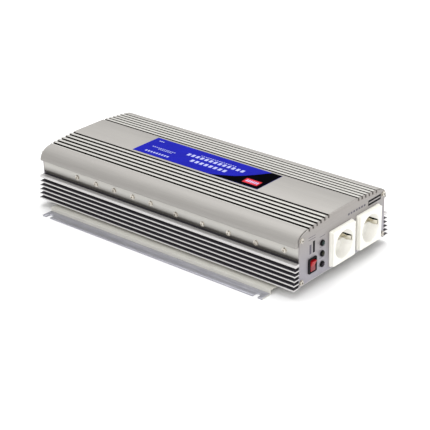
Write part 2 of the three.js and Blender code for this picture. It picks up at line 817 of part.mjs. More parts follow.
function makeGroundScrew() {
  const seat = PLATE_FACE + GAP;
  const shank = barY(2.5, 0, GROUND_Z, seat - 9, seat + 1, 12);
  const washer = barY(5.5, 0, GROUND_Z, seat, seat + 1, 20);
  const head = barY(4.6, 0, GROUND_Z, seat + 0.5, seat + 4.5, 6);
  place('ground_screw', combine(washer, { add: [shank, head] }), BRASS);
}

function makeTerminals() {
  makeTerminal('positive', TERMINAL_ZS.positive, TERMINAL_RED);
  makeTerminal('negative', TERMINAL_ZS.negative, BLACK_PLASTIC);
  makeGroundScrew();
}

// ---- label --------------------------------------------------------------------------

function makeLabel() {
  const low = TOP + 0.1;
  const low0 = [-LABEL_HALF_W, LABEL_FRONT, low];
  const high0 = [LABEL_HALF_W, LABEL_REAR, low + LABEL_T];
  place('label_plate', box(low0, high0), LABEL_BLUE);
}

// ---- inside -------------------------------------------------------------------------

function makeBoards() {
  const board = box([-80, -188, BOARD_Z], [80, 192, BOARD_TOP]);
  place('main_circuit_board', board, BOARD_GREEN);
  const low = BOARD_TOP + GAP;
  const card = box([-26, -160, low], [-24.4, -100, low + 38]);
  const pins = box([-27.5, -158, low], [-22.9, -102, low + 5]);
  place('control_board', combine(card, { add: [pins] }), BOARD_GREEN);
}

/** A transformer: an E core round a wound bobbin, standing on the board. */
function makeTransformer(number, y) {
  const z0 = BOARD_TOP + GAP;
  const z1 = z0 + TRANSFORMER_H;
  const core = box([-27, y - 13, z0], [27, y + 13, z1]);
  const windows = [-1, 1].map((side) => {
    const near = side * 8;
    const far = side * 20;
    return box([Math.min(near, far), y - 14, z0 + 8], [Math.max(near, far), y + 14, z1 - 8]);
  });
  const winding = box([-20 + GAP, y - 22, z0 + 8 + GAP], [20 - GAP, y + 22, z1 - 8 - GAP]);
  const legHole = box([-8 - GAP, y - 13 - GAP, z0], [8 + GAP, y + 13 + GAP, z1]);
  place(`transformer_core_${number}`, combine(core, { cut: windows }), FERRITE);
  place(`transformer_winding_${number}`, combine(winding, { cut: [legHole] }), COPPER_TAPE);
}

function makeCapacitors() {
  const z0 = BOARD_TOP + GAP;
  for (let i = 0; i < 4; i += 1) {
    const x = -60 + i * 40;
    const can = barZ(8, x, 172, z0, z0 + 32, 20);
    place(`input_capacitor_${i + 1}`, can, CAPACITOR_SLEEVE);
  }
  for (let i = 0; i < 2; i += 1) {
    const can = barZ(12.5, 15 + i * 32, -120, z0, z0 + 46, 24);
    place(`bulk_capacitor_${i + 1}`, can, CAPACITOR_SLEEVE);
  }
}

/** The transistors of one stretch of wall, on their common insulating strip. */
function makeTransistorBank(name, side, places) {
  const wall = WALL_HALF - WALL_THICKNESS - GAP;
  const first = Math.min(...places) - 11;
  const last = Math.max(...places) + 11;
  const stripInner = side > 0 ? wall - 1 : -wall;
  const stripOuter = side > 0 ? wall : -wall + 1;
  const strip = box([stripInner, first, BANK_LOW], [stripOuter, last, BANK_TOP]);
  const packages = places.map((y) => {
    const inner = side * (wall - 0.5);
    const outer = side * (wall - 5.5);
    return box([Math.min(inner, outer), y - 8, BANK_LOW], [Math.max(inner, outer), y + 8, BANK_TOP]);
  });
  place(name, combine(strip, { add: packages }), TRANSISTOR_BLACK);
}

function makeTransistors() {
  const rear = [163, 125, 90, 55, 21];
  const front = [-23, -70, -115, -160];
  for (const [where, side] of [['left', -1], ['right', 1]]) {
    makeTransistorBank(`transistor_bank_${where}_rear`, side, rear);
    makeTransistorBank(`transistor_bank_${where}_front`, side, front);
  }
}

function makeChoke() {
  const z0 = BOARD_TOP + GAP;
  const ring = turnedY([[9, -8], [20, -8], [20, 8], [9, 8], [9, -8]], 0, 0, 24);
  ring.rotateX(Math.PI / 2);
  ring.translate(-52, -130, z0 + 8);
  place('output_choke', ring, COPPER_TAPE);
}

/** A strip from a terminal's stud down to the board. */
function makeBusbar(pole, z, x) {
  const y0 = PLATE_FACE + GAP - 22;
  const low = BOARD_TOP + GAP;
  const runLeft = Math.min(0, x) - BUSBAR_HALF;
  const runRight = Math.max(0, x) + BUSBAR_HALF;
  const run = box([runLeft, y0, z - BUSBAR_HALF], [runRight, y0 + 2, z + BUSBAR_HALF]);
  const drop = box([x - BUSBAR_HALF, y0, low], [x + BUSBAR_HALF, y0 + 2, z]);
  const foot = box([x - BUSBAR_HALF, y0 - 24, low], [x + BUSBAR_HALF, y0 + 2, low + 2]);
  place(`dc_${pole}_busbar`, combine(run, { add: [drop, foot] }), BRASS);
}

makeBase();
makeCover();
makeFrontPanel();
makeRearPanel();
makePanelScrews();
makeRails();
makeOutlets();
makeSwitch();
makeLamps();
makeFans();
makeTerminals();
makeLabel();
makeBoards();
TRANSFORMER_YS.forEach((y, i) => makeTransformer(i + 1, y));
makeCapacitors();
makeTransistors();
makeChoke();
makeBusbar('positive', TERMINAL_ZS.positive, BUSBAR_X);
makeBusbar('negative', TERMINAL_ZS.negative, -BUSBAR_X);

export default root;
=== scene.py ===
"""Looks of a power inverter: a finned aluminium base, a grooved aluminium cover, two end
plates, two earthed mains outlets, a rocker switch, lamps, fans and battery terminals.

Sizes are millimetres in the case's own frame: y = 0 is midway between the end plates and
z = 0 is the case's own zero height. `at` turns them into metres in the part's frame.
"""

import json
import logging
import math
from dataclasses import dataclass, field, replace
from enum import Enum
from typing import Callable, Iterable, Sequence

import bmesh
import bpy
from mathutils import Matrix, Vector

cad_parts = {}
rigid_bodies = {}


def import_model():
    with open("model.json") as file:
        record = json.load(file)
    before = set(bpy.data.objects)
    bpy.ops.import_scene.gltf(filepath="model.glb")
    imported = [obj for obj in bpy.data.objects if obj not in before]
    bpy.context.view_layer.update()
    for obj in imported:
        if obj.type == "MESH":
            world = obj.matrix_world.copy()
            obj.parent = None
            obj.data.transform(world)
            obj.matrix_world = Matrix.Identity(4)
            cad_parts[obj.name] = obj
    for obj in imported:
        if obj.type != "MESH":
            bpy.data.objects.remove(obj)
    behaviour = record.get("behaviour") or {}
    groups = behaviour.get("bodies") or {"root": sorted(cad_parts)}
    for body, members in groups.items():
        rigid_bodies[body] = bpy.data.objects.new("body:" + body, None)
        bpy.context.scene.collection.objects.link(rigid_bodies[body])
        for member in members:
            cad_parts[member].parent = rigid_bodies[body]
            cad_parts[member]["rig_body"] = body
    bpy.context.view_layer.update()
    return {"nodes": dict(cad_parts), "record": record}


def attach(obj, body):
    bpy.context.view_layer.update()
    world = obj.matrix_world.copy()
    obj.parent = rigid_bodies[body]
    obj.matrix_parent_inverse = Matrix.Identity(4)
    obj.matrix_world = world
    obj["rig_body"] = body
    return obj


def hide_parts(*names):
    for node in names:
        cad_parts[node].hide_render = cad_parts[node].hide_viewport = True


LOG = logging.getLogger("inverter")

MM = 0.001
CASE_SHIFT = Vector((0.0, -12.35, 10.5))
SHARP = math.radians(30)

Shape = Callable[[float], tuple[float, float]]
Ring = tuple[float, Shape]
Outline = list[tuple[float, float]]


# ---- small geometry tools ---------------------------------------------------------------


def at(x: float, y: float, z: float) -> Vector:
    """A place in the part's frame, in metres.

    Args:
        x: Millimetres to the right of the middle.
        y: Millimetres behind the middle of the case.
        z: Millimetres above the case's own zero.

    Returns:
        The same place in metres.
    """
    return (Vector((x, y, z)) + CASE_SHIFT) * MM


def arc(cx: float, cz: float, a: float, b: float, start: float, end: float, steps: int) -> Outline:
    """Points on an ellipse, with angles in degrees measured from the top.

    Args:
        cx: Centre, sideways.
        cz: Centre, height.
        a: Half width.
        b: Half height.
        start: First angle.
        end: Last angle.
        steps: Number of steps between them.

    Returns:
        The points in order.
    """
    turns = [math.radians(start + (end - start) * i / steps) for i in range(steps + 1)]
    return [(cx + a * math.sin(t), cz + b * math.cos(t)) for t in turns]


def finish_mesh(name: str, bm: bmesh.types.BMesh, smooth: bool = True) -> bpy.types.Object:
    """Turns a finished bmesh in metres into an object at the origin.

    Args:
        name: The piece's name.
        bm: Its mesh, which is freed.
        smooth: Whether its faces shade smoothly up to the sharp edges.

    Returns:
        The new object.
    """
    bmesh.ops.remove_doubles(bm, verts=bm.verts, dist=1e-7)
    bmesh.ops.recalc_face_normals(bm, faces=bm.faces)
    for face in bm.faces:
        face.smooth = smooth
    for edge in bm.edges:
        edge.smooth = len(edge.link_faces) == 2 and edge.calc_face_angle(0.0) < SHARP
    mesh = bpy.data.meshes.new(name)
    bm.to_mesh(mesh)
    bm.free()
    piece = bpy.data.objects.new(name, mesh)
    bpy.context.scene.collection.objects.link(piece)
    return piece


def bevel_edges(bm: bmesh.types.BMesh, edges: Iterable, width: float, segments: int = 2) -> None:
    """Rounds some edges.

    Args:
        bm: The mesh.
        edges: The edges to round.
        width: Width of the rounding in metres.
        segments: Faces across the rounding.
    """
    bmesh.ops.bevel(
        bm,
        geom=list(edges),
        offset=width,
        offset_type="OFFSET",
        segments=segments,
        profile=0.5,
        affect="EDGES",
        clamp_overlap=True,
        material=-1,
    )


def sharp_edges(bm: bmesh.types.BMesh, limit: float = SHARP) -> list:
    """The edges where two faces meet at more than an angle.

    Args:
        bm: The mesh.
        limit: The angle in radians.

    Returns:
        Those edges.
    """
    return [e for e in bm.edges if len(e.link_faces) == 2 and e.calc_face_angle(0.0) > limit]


def pushed(bm: bmesh.types.BMesh, corners: Iterable[Vector], step: Vector) -> None:
    """Adds a flat outline pushed straight out into a solid.

    Args:
        bm: The mesh to add to.
        corners: The outline's corners in metres.
        step: How far and which way it is pushed, in metres.
    """
    base = bm.faces.new([bm.verts.new(corner) for corner in corners])
    made = bmesh.ops.extrude_face_region(bm, geom=[base], use_keep_orig=True)["geom"]
    moved = [v for v in made if isinstance(v, bmesh.types.BMVert)]
    bmesh.ops.translate(bm, verts=moved, vec=step)
    bmesh.ops.recalc_face_normals(bm, faces=bm.faces)


def extruded(outline: Outline, y0: float, y1: float) -> bmesh.types.BMesh:
    """An outline in X and Z pushed out along Y.

    Args:
        outline: Points in millimetres.
        y0: Where it starts.
        y1: Where it ends.

    Returns:
        The solid's bmesh in metres.
    """
    bm = bmesh.new()
    pushed(bm, [at(x, y0, z) for x, z in outline], Vector((0.0, (y1 - y0) * MM, 0.0)))
    return bm


def block(bm: bmesh.types.BMesh, low: Vector, high: Vector, width: float) -> list:
    """Adds a block with rounded edges to a bmesh.

    Args:
        bm: The mesh to add to.
        low: Lowest corner in metres.
        high: Highest corner in metres.
        width: Rounding in metres.

    Returns:
        The block's vertices before rounding.
    """
    size = high - low
    place = Matrix.Translation((low + high) / 2) @ Matrix.Diagonal((*size, 1.0))
    made = bmesh.ops.create_cube(bm, size=1.0, matrix=place)["verts"]
    edges = {e for v in made for e in v.link_edges}
    bevel_edges(bm, edges, width)
    return made


def turned(bm: bmesh.types.BMesh, profile: Sequence[tuple[float, float]], steps: int) -> None:
    """Adds a turned solid about the Y axis, its profile spun a full turn.

    Args:
        bm: The mesh to add to.
        profile: [radius, y] points in millimetres.
        steps: Number of steps round.
    """
    points = [bm.verts.new((r * MM, y * MM, 0.0)) for r, y in profile]
    chain = [bm.edges.new(pair) for pair in zip(points, points[1:])]
    bmesh.ops.spin(
        bm,
        geom=points + chain,
        cent=(0, 0, 0),
        axis=(0, 1, 0),
        angle=math.tau,
        steps=steps,
        use_merge=True,
        use_duplicate=False,
    )
    bmesh.ops.remove_doubles(bm, verts=bm.verts, dist=1e-7)


def circle(radius: float) -> Shape:
    """A circle as a function of the angle round it."""
    return lambda t: (radius * math.cos(t), radius * math.sin(t))


def rounded_box(half_w: float, half_h: float, corner: float) -> Shape:
    """A rectangle with round corners as a function of the angle round it.

    Args:
        half_w: Half its width.
        half_h: Half its height.
        corner: Radius of its corners.

    Returns:
        A function from an angle to a point on the outline.
    """

    def point(t: float) -> tuple[float, float]:
        """The outline's point at one angle.

        Args:
            t: The angle in radians.

        Returns:
            The point, in the same unit as the sizes.
        """
        c, s = math.cos(t), math.sin(t)
        reach = min(half_w / max(abs(c), 1e-9), half_h / max(abs(s), 1e-9))
        x, z = reach * c, reach * s
        ax, az = abs(x), abs(z)
        kx, kz = half_w - corner, half_h - corner
        if ax > kx and az > kz:
            away = math.hypot(ax - kx, az - kz)
            ax, az = kx + (ax - kx) * corner / away, kz + (az - kz) * corner / away
        return math.copysign(ax, x), math.copysign(az, z)

    return point


def lofted(
    bm: bmesh.types.BMesh, rings: Sequence[Ring], segments: int, cap: tuple[bool, bool], crowd: float = 0.0
) -> None:
    """Pushes a closed ring along Y from outline to outline, which leaves one skin.

    Args:
        bm: The mesh to add to.
        rings: Each ring's y in millimetres and its outline function.
        segments: Points on each ring.
        cap: Whether the first and the last ring are closed with a face.
        crowd: How much closer the points stand near the four corners, from 0 to below 1.
    """
    order = bm.verts.layers.int.new("order")
    first = ring = bmesh.ops.create_circle(bm, segments=segments, radius=1.0)["verts"]
    for i, vert in enumerate(ring):
        vert[order] = i
    for number, (y, outline) in enumerate(rings):
        if number:
            rim = {e for v in ring for e in v.link_edges if len(e.link_faces) < 2}
            made = bmesh.ops.extrude_edge_only(bm, edges=list(rim))["geom"]
            ring = [v for v in made if isinstance(v, bmesh.types.BMVert)]
        for vert in ring:
            t = (vert[order] + 0.5) * math.tau / segments
            x, z = outline(t + crowd * math.sin(4 * t) / 4)
            vert.co = Vector((x, y, z)) * MM
    for wanted, verts in zip(cap, (first, ring)):
        if wanted:
            bmesh.ops.contextual_create(bm, geom=verts)
    bm.verts.layers.int.remove(order)


def carve(piece: bpy.types.Object, cutters: Sequence[bpy.types.Object]) -> None:
    """Cuts solids out of a piece and removes them.

    Args:
        piece: The piece to cut.
        cutters: The solids to take away.
    """
    for cutter in cutters:
        change = piece.modifiers.new("cut", "BOOLEAN")
        change.operation = "DIFFERENCE"
        change.solver = "EXACT"
        change.object = cutter
    bpy.context.view_layer.update()
    graph = bpy.context.evaluated_depsgraph_get()
    mesh = bpy.data.meshes.new_from_object(piece.evaluated_get(graph))
    piece.modifiers.clear()
    old = piece.data
    piece.data = mesh
    bpy.data.meshes.remove(old)
    mesh.name = piece.name
    for cutter in cutters:
        bpy.data.objects.remove(cutter)


def softened(node: str, name: str, width: float, segments: int = 2) -> bpy.types.Object:
    """A copy of a CAD node with its sharp edges rounded, standing for that node.

    Args:
        node: The CAD node.
        name: The new piece's name.
        width: Rounding in millimetres.
        segments: Faces across the rounding.

    Returns:
        The new piece.
    """
    source = bpy.data.objects[node]
    bm = bmesh.new()
    bm.from_mesh(source.data)
    bmesh.ops.remove_doubles(bm, verts=bm.verts, dist=2e-6)
    bmesh.ops.dissolve_limit(
        bm, angle_limit=math.radians(1.0), verts=bm.verts, edges=bm.edges, delimit=set()
    )
    bevel_edges(bm, sharp_edges(bm), width * MM, segments)
    piece = finish_mesh(name, bm)
    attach(piece, source["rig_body"])
    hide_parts(node)
    return piece


# ---- finishes ---------------------------------------------------------------------------


def linear(code: str) -> tuple[float, float, float, float]:
    """An sRGB hex colour as linear light.

    Args:
        code: Six hex digits after a hash.

    Returns:
        Red, green, blue and 1.
    """
    parts = [int(code[i : i + 2], 16) / 255 for i in (1, 3, 5)]
    lit = [c / 12.92 if c <= 0.04045 else ((c + 0.055) / 1.055) ** 2.4 for c in parts]
    return (*lit, 1.0)


def add_node(tree: bpy.types.NodeTree, kind: str, links: dict | None = None, **settings) -> bpy.types.Node:
    """Adds a node with its settings and links.

    Args:
        tree: The material's node tree.
        kind: The node's type.
        links: Input name or number to the socket or the value that feeds it.
        **settings: The node's own properties.

    Returns:
        The new node.
    """
    node = tree.nodes.new(kind)
    for key, value in settings.items():
        setattr(node, key, value)
    for key, source in (links or {}).items():
        if isinstance(source, bpy.types.NodeSocket):
            tree.links.new(source, node.inputs[key])
        else:
            node.inputs[key].default_value = source
    return node


class Grain(Enum):
    """How a surface's fine pattern runs."""

    DRAWN = (1.0, 0.012, 1.0)
    ROLLED = (1.0, 0.05, 1.0)
    EVEN = (1.0, 1.0, 1.0)


BROAD = 40.0  # grains across one cloud of the broad pattern
CLOUDS = (0.12, 0.4)  # where the two patterns' product shows the shade, and where the colour
RELIEF = 0.35
COAT_ROUGHNESS = 0.12


@dataclass(frozen=True)
class Finish:
    """One surface: its material, how it was made, and the numbers that show it."""

    name: str
    slot: str
    colour: str
    shade: str
    roughness: float
    metallic: float = 0.0
    grain: Grain = Grain.EVEN
    grain_mm: float = 0.6
    bump_mm: float = 0.02
    rough_swing: float = 0.06
    coat: float = 0.0
    clearness: float = 0.0
    sheen: float = 0.5
    # A painted gradient of light and shade: an axis, where it starts and stops in millimetres, and the colour
    # it reaches at the stop.
    painted_light_fade: tuple[str, float, float, str] | None = None

    def material(self) -> bpy.types.Material:
        """The finish's node material, made once.

        Returns:
            The material.
        """
        found = bpy.data.materials.get(self.name)
        if found:
            return found
        made = bpy.data.materials.new(self.name)
        made.use_nodes = True
        tree = made.node_tree
        tree.nodes.clear()
        place = add_node(tree, "ShaderNodeTexCoord")
        stretch = add_node(
            tree, "ShaderNodeMapping", {"Vector": place.outputs["Object"], "Scale": self.grain.value}
        )
        fine = add_node(
            tree,
            "ShaderNodeTexNoise",
            {"Vector": stretch.outputs[0], "Scale": 1 / (self.grain_mm * MM), "Detail": 3.0},
        )
        broad = add_node(
            tree,
            "ShaderNodeTexNoise",
            {"Vector": stretch.outputs[0], "Scale": 1 / (BROAD * self.grain_mm * MM), "Detail": 2.0},
        )
        both = add_node(
            tree,
            "ShaderNodeMath",
            {0: fine.outputs["Fac"], 1: broad.outputs["Fac"]},
            operation="MULTIPLY",
        )
        spread = add_node(
            tree,
            "ShaderNodeMapRange",
            {"Value": both.outputs[0], "From Min": CLOUDS[0], "From Max": CLOUDS[1]},
        )
        tone = add_node(tree, "ShaderNodeValToRGB", {"Fac": spread.outputs[0]})
        tone.color_ramp.elements[0].color = linear(self.shade)
        tone.color_ramp.elements[1].color = linear(self.colour)
        colour = tone.outputs["Color"]
        # Painted light and shade: blend towards another colour along one axis.
        if self.painted_light_fade:
            axis, start, stop, far = self.painted_light_fade
            parts = add_node(tree, "ShaderNodeSeparateXYZ", {0: place.outputs["Object"]})
            along = add_node(
                tree,
                "ShaderNodeMapRange",
                {"Value": parts.outputs[axis], "From Min": start * MM, "From Max": stop * MM},
                interpolation_type="SMOOTHSTEP",
            )
            blend = add_node(
                tree,
                "ShaderNodeMixRGB",
                {"Fac": along.outputs[0], "Color1": colour, "Color2": linear(far)},
            )
            colour = blend.outputs[0]
        rough = add_node(
            tree,
            "ShaderNodeMapRange",
            {
                "Value": fine.outputs["Fac"],
                "To Min": self.roughness - self.rough_swing,
                "To Max": self.roughness + self.rough_swing,
            },
        )
        bump = add_node(
            tree,
            "ShaderNodeBump",
            {"Height": fine.outputs["Fac"], "Strength": RELIEF, "Distance": self.bump_mm * MM},
        )
        shader = add_node(
            tree,
            "ShaderNodeBsdfPrincipled",
            {
                "Base Color": colour,
                "Roughness": rough.outputs[0],
                "Metallic": self.metallic,
                "Normal": bump.outputs[0],
                "Specular IOR Level": self.sheen,
                "Coat Weight": self.coat,
                "Coat Roughness": COAT_ROUGHNESS,
                "Transmission Weight": self.clearness,
            },
        )
        add_node(tree, "ShaderNodeOutputMaterial", {"Surface": shader.outputs[0]})
        return made


# Extruded aluminium, bead blasted and clear anodised: a soft grey with faint lines along
# the length it was drawn through the die.
SATIN = Finish(
    "anodised_extruded_aluminium", "satin_aluminium", "#A29F9B", "#989591", 0.55, 0.35, Grain.DRAWN, 0.7
)
# The side wall of the same metal: pale at the top, with painted shade that darkens it towards the fold at its
# foot.
WALL_FOOT_SHADE = replace(
    SATIN, name="anodised_wall_painted_foot_shade", colour="#C2C0BB", shade="#B8B6B1", roughness=0.5, metallic=0.3,
    painted_light_fade=("Z", 60.0, 47.0, "#5B5854")
)
# The same metal, paler: bright, sharp lines at the edges; bare metal on the cut ends, and a painted highlight
# along the fin tips and on the thick fin's top.
EDGE_AND_HIGHLIGHT = replace(
    SATIN, name="cut_aluminium_and_painted_highlight", colour="#D3D1D0", shade="#C6C4C4", roughness=0.3
)
# The lands between the grooves: paler and glossier stripes on the cover, the paler colour a painted
# highlight.
LAND_HIGHLIGHT = replace(
    SATIN, name="aluminium_land_painted_highlight", colour="#C6C4BF", shade="#B9B7B2", roughness=0.4, metallic=0.3
)
# The flanks of the fins and the gaps between them: painted shade, dull and dark, so that the tips stand out.
FIN_GAP_SHADE = replace(
    SATIN, name="fin_gap_painted_shade", colour="#504D52", shade="#413E44", roughness=0.6, metallic=0.2,
    sheen=0.2
)
# Painted shade deep in the grooves, in the screws' recesses and round their heads: nearly black, with almost
# no shine.
DEEP_SHADE = replace(
    FIN_GAP_SHADE, name="painted_deep_shade", colour="#211E1C", shade="#191715", metallic=0.1,
    sheen=0.1
)
# Sheet aluminium under a fine satin powder coat: a faintly lilac grey, with a painted warm reflection that
# makes it warmer and a little darker towards the top.
PANEL = Finish(
    "powder_coated_sheet", "panel_paint", "#9F9CA3", "#95929A", 0.45, 0.15, grain_mm=0.5, bump_mm=0.015,
    painted_light_fade=("Z", 20.0, 90.0, "#98938F")
)
# Cold rolled steel, zinc plated and passivated: cool grey, faintly cloudy.
ZINC = Finish(
    "zinc_plated_steel", "zinc_steel", "#B4B4BB", "#9C9CA4", 0.38, 0.7, Grain.ROLLED, 1.2,
    rough_swing=0.1
)
# The same plating on the rails' shelves and risers: paler, warmer and duller.
ZINC_SHELF = replace(
    ZINC, name="pale_warm_zinc_plate", colour="#D2D0C8", shade="#C5C3BB", roughness=0.5, metallic=0.15
)
# Nickel plated wire and washers: clear, slightly warm reflections.
BRIGHT = Finish(
    "nickel_plated_steel", "bright_steel", "#DAD7D0", "#C4C1BA", 0.24, 1.0, grain_mm=0.4, bump_mm=0.01
)
# Nickel plated screws that have been handled: the same, a little broken up.
SCREW = replace(
    BRIGHT, name="worn_nickel_screw", colour="#D4CFC6", shade="#A9A49C", roughness=0.25, metallic=0.9,
    bump_mm=0.02
)
# Glass filled thermoplastic from a polished mould: ivory white with a half gloss.
IVORY = Finish(
    "moulded_ivory_thermoplastic", "outlet_ivory", "#F8F7F0", "#F1EFE5", 0.34, grain_mm=0.5,
    bump_mm=0.008, rough_swing=0.03, coat=0.15
)
# The same plastic in the outlets' wells: a little greyer, without the gloss.
IVORY_WELL = replace(
    IVORY, name="moulded_ivory_well", colour="#F6F5F1", shade="#EEECE5", roughness=0.45,
    rough_swing=0.06, coat=0.0
)
# Rolled bronze strip, nickel plated: a bright, warm glint in the wells.
SPRING = Finish(
    "nickel_plated_bronze_strip", "spring_brass", "#DAD5C6", "#C4BFAF", 0.25, 1.0, Grain.ROLLED, 0.4,
    0.01
)
# ABS from a spark eroded mould: an even, dull black.
BLACK = Finish(
    "textured_black_abs", "black_plastic", "#121115", "#0B0A0D", 0.45, grain_mm=0.35, bump_mm=0.03,
    sheen=0.12
)
# Polycarbonate dyed red, from a polished mould: deep red with a soft shine.
RED_TOP = Finish(
    "translucent_red_polycarbonate", "rocker_red", "#B0101A", "#9C0E17", 0.3, grain_mm=0.5,
    bump_mm=0.005, rough_swing=0.03, coat=0.1, sheen=0.3
)
# The rocker's lower face: a paler, greyer red than the upper one.
RED_LOW = replace(
    RED_TOP, name="rocker_lower_face", colour="#8E3A40", shade="#7C3036", roughness=0.35, coat=0.0
)
# Moulded lamp holders: black with a faint gloss.
LAMP = Finish(
    "gloss_black_holder", "lamp_black", "#0D0C0F", "#080809", 0.35, grain_mm=0.4, bump_mm=0.006,
    sheen=0.1
)
# Smoked acrylic lenses with the lamps off: nearly black, each with a hint of its colour.
LENS_GREEN = Finish(
    "smoked_green_lens", "lamp_black", "#16302A", "#0F211D", 0.15, grain_mm=0.5, bump_mm=0.003,
    rough_swing=0.02, sheen=0.3
)
# The second lens: olive.
LENS_OLIVE = replace(LENS_GREEN, name="smoked_olive_lens", colour="#2E2E1C", shade="#212113")
# The third lens: purple.
LENS_PURPLE = replace(LENS_GREEN, name="smoked_purple_lens", colour="#1D1322", shade="#150D19")
# Glass filled nylon from a plain mould: a dull, slightly grey black.
FAN = Finish("moulded_black_nylon", "fan_black", "#202022", "#151517", 0.5, grain_mm=0.5, bump_mm=0.03)
# Phenolic from a compression mould: brick red with a low gloss.
RED_KNOB = Finish(
    "moulded_red_phenolic", "terminal_red", "#B01A1C", "#971416", 0.38, grain_mm=0.5, bump_mm=0.01,
    rough_swing=0.05, coat=0.2
)
# Brass turned from bar: yellow metal with clear highlights.
TURNED_BRASS = Finish("turned_brass", "brass", "#CDAA60", "#B49048", 0.28, 1.0, grain_mm=0.3, bump_mm=0.01)
# Polyester film printed from behind: an even, strong blue.
LABEL_BLUE = Finish(
    "printed_blue_polyester", "label_blue", "#1519A0", "#12168F", 0.35, bump_mm=0.004, rough_swing=0.04,
    sheen=0.02
)
# Black ink on the same film: flat and dark.
LABEL_BLACK = Finish("printed_black_ink", "label_blue", "#08080C", "#050507", 0.35, bump_mm=0.004, sheen=0.0)
# Red ink on the film: a flat, slightly pink red.
LABEL_RED = replace(LABEL_BLACK, name="printed_red_ink", colour="#C93A44", shade="#B83039", roughness=0.38)
# Pale ink on the film: a bluish white that doesn't shine.
LABEL_PALE = replace(LABEL_BLACK, name="printed_pale_ink", colour="#B4B8DE", shade="#A0A5D0", roughness=0.4)
# Grey ink screen printed on the powder coat: soft and flat.
PRINT_GREY = Finish(
    "screen_printed_grey_ink", "panel_paint", "#67646C", "#5C5962", 0.5, grain_mm=0.5, bump_mm=0.004,
    sheen=0.1
)
# The dark ink of the same print: nearly black.
PRINT_DARK = replace(PRINT_GREY, name="screen_printed_dark_ink", colour="#17151A", shade="#0F0E12")
# Glass cloth and epoxy under solder resist: dark green with a low gloss.
BOARD = Finish("glass_epoxy_board", "board_green", "#1F5A37", "#184A2C", 0.45, grain_mm=0.8)
# Pressed and sintered ferrite: a rough charcoal grey.
FERRITE = Finish("sintered_ferrite", "ferrite", "#333336", "#232326", 0.6, 0.1, grain_mm=0.5, bump_mm=0.04)
# Enamelled copper under clear tape: an orange metal with a soft shine.
COPPER = Finish(
    "taped_copper_winding", "copper_winding", "#BC7632", "#9C5E24", 0.42, 0.6, Grain.ROLLED,
    bump_mm=0.05
)
# Shrunk vinyl sleeves on the capacitors: dark blue with a low gloss.
SLEEVE = Finish("shrink_sleeve", "capacitor_sleeve", "#23305C", "#1B264B", 0.38, bump_mm=0.01)
# Epoxy moulded round the transistors: a dull, fine grained black.
PACKAGE = Finish(
    "moulded_epoxy_package", "transistor_black", "#232325", "#18181A", 0.5, grain_mm=0.3, bump_mm=0.03
)
# Uncoated white paper under the object: no shine, so it only takes shadows.
PAPER = Finish("matte_white_paper", "panel_paint", "#F8F8F8", "#F6F6F6", 0.9, grain_mm=3.0, bump_mm=0.01)

CARRIED_OVER = {
    finish.slot: finish
    for finish in (
        *(SATIN, PANEL, ZINC, BRIGHT, IVORY, SPRING, BLACK, RED_TOP, LAMP, FAN, RED_KNOB),
        *(TURNED_BRASS, LABEL_BLUE, BOARD, FERRITE, COPPER, SLEEVE, PACKAGE),
    )
}


def dress(piece: bpy.types.Object, *finishes: Finish) -> None:
    """Gives a piece its materials, first slot first.

    Args:
        piece: The piece.
        *finishes: One finish for each material number on its faces.
    """
    piece.data.materials.clear()
    for finish in finishes:
        piece.data.materials.append(finish.material())


def paint(piece: bpy.types.Object, number: int, wanted: Callable[[Vector, Vector], bool]) -> None:
    """Gives some faces another material number.

    Args:
        piece: The piece.
        number: The material number.
        wanted: Says from a face's centre and normal, in case millimetres, if it is one.
    """
    for face in piece.data.polygons:
        if wanted(face.center / MM - CASE_SHIFT, face.normal):
            face.material_index = number


# ---- the case ---------------------------------------------------------------------------


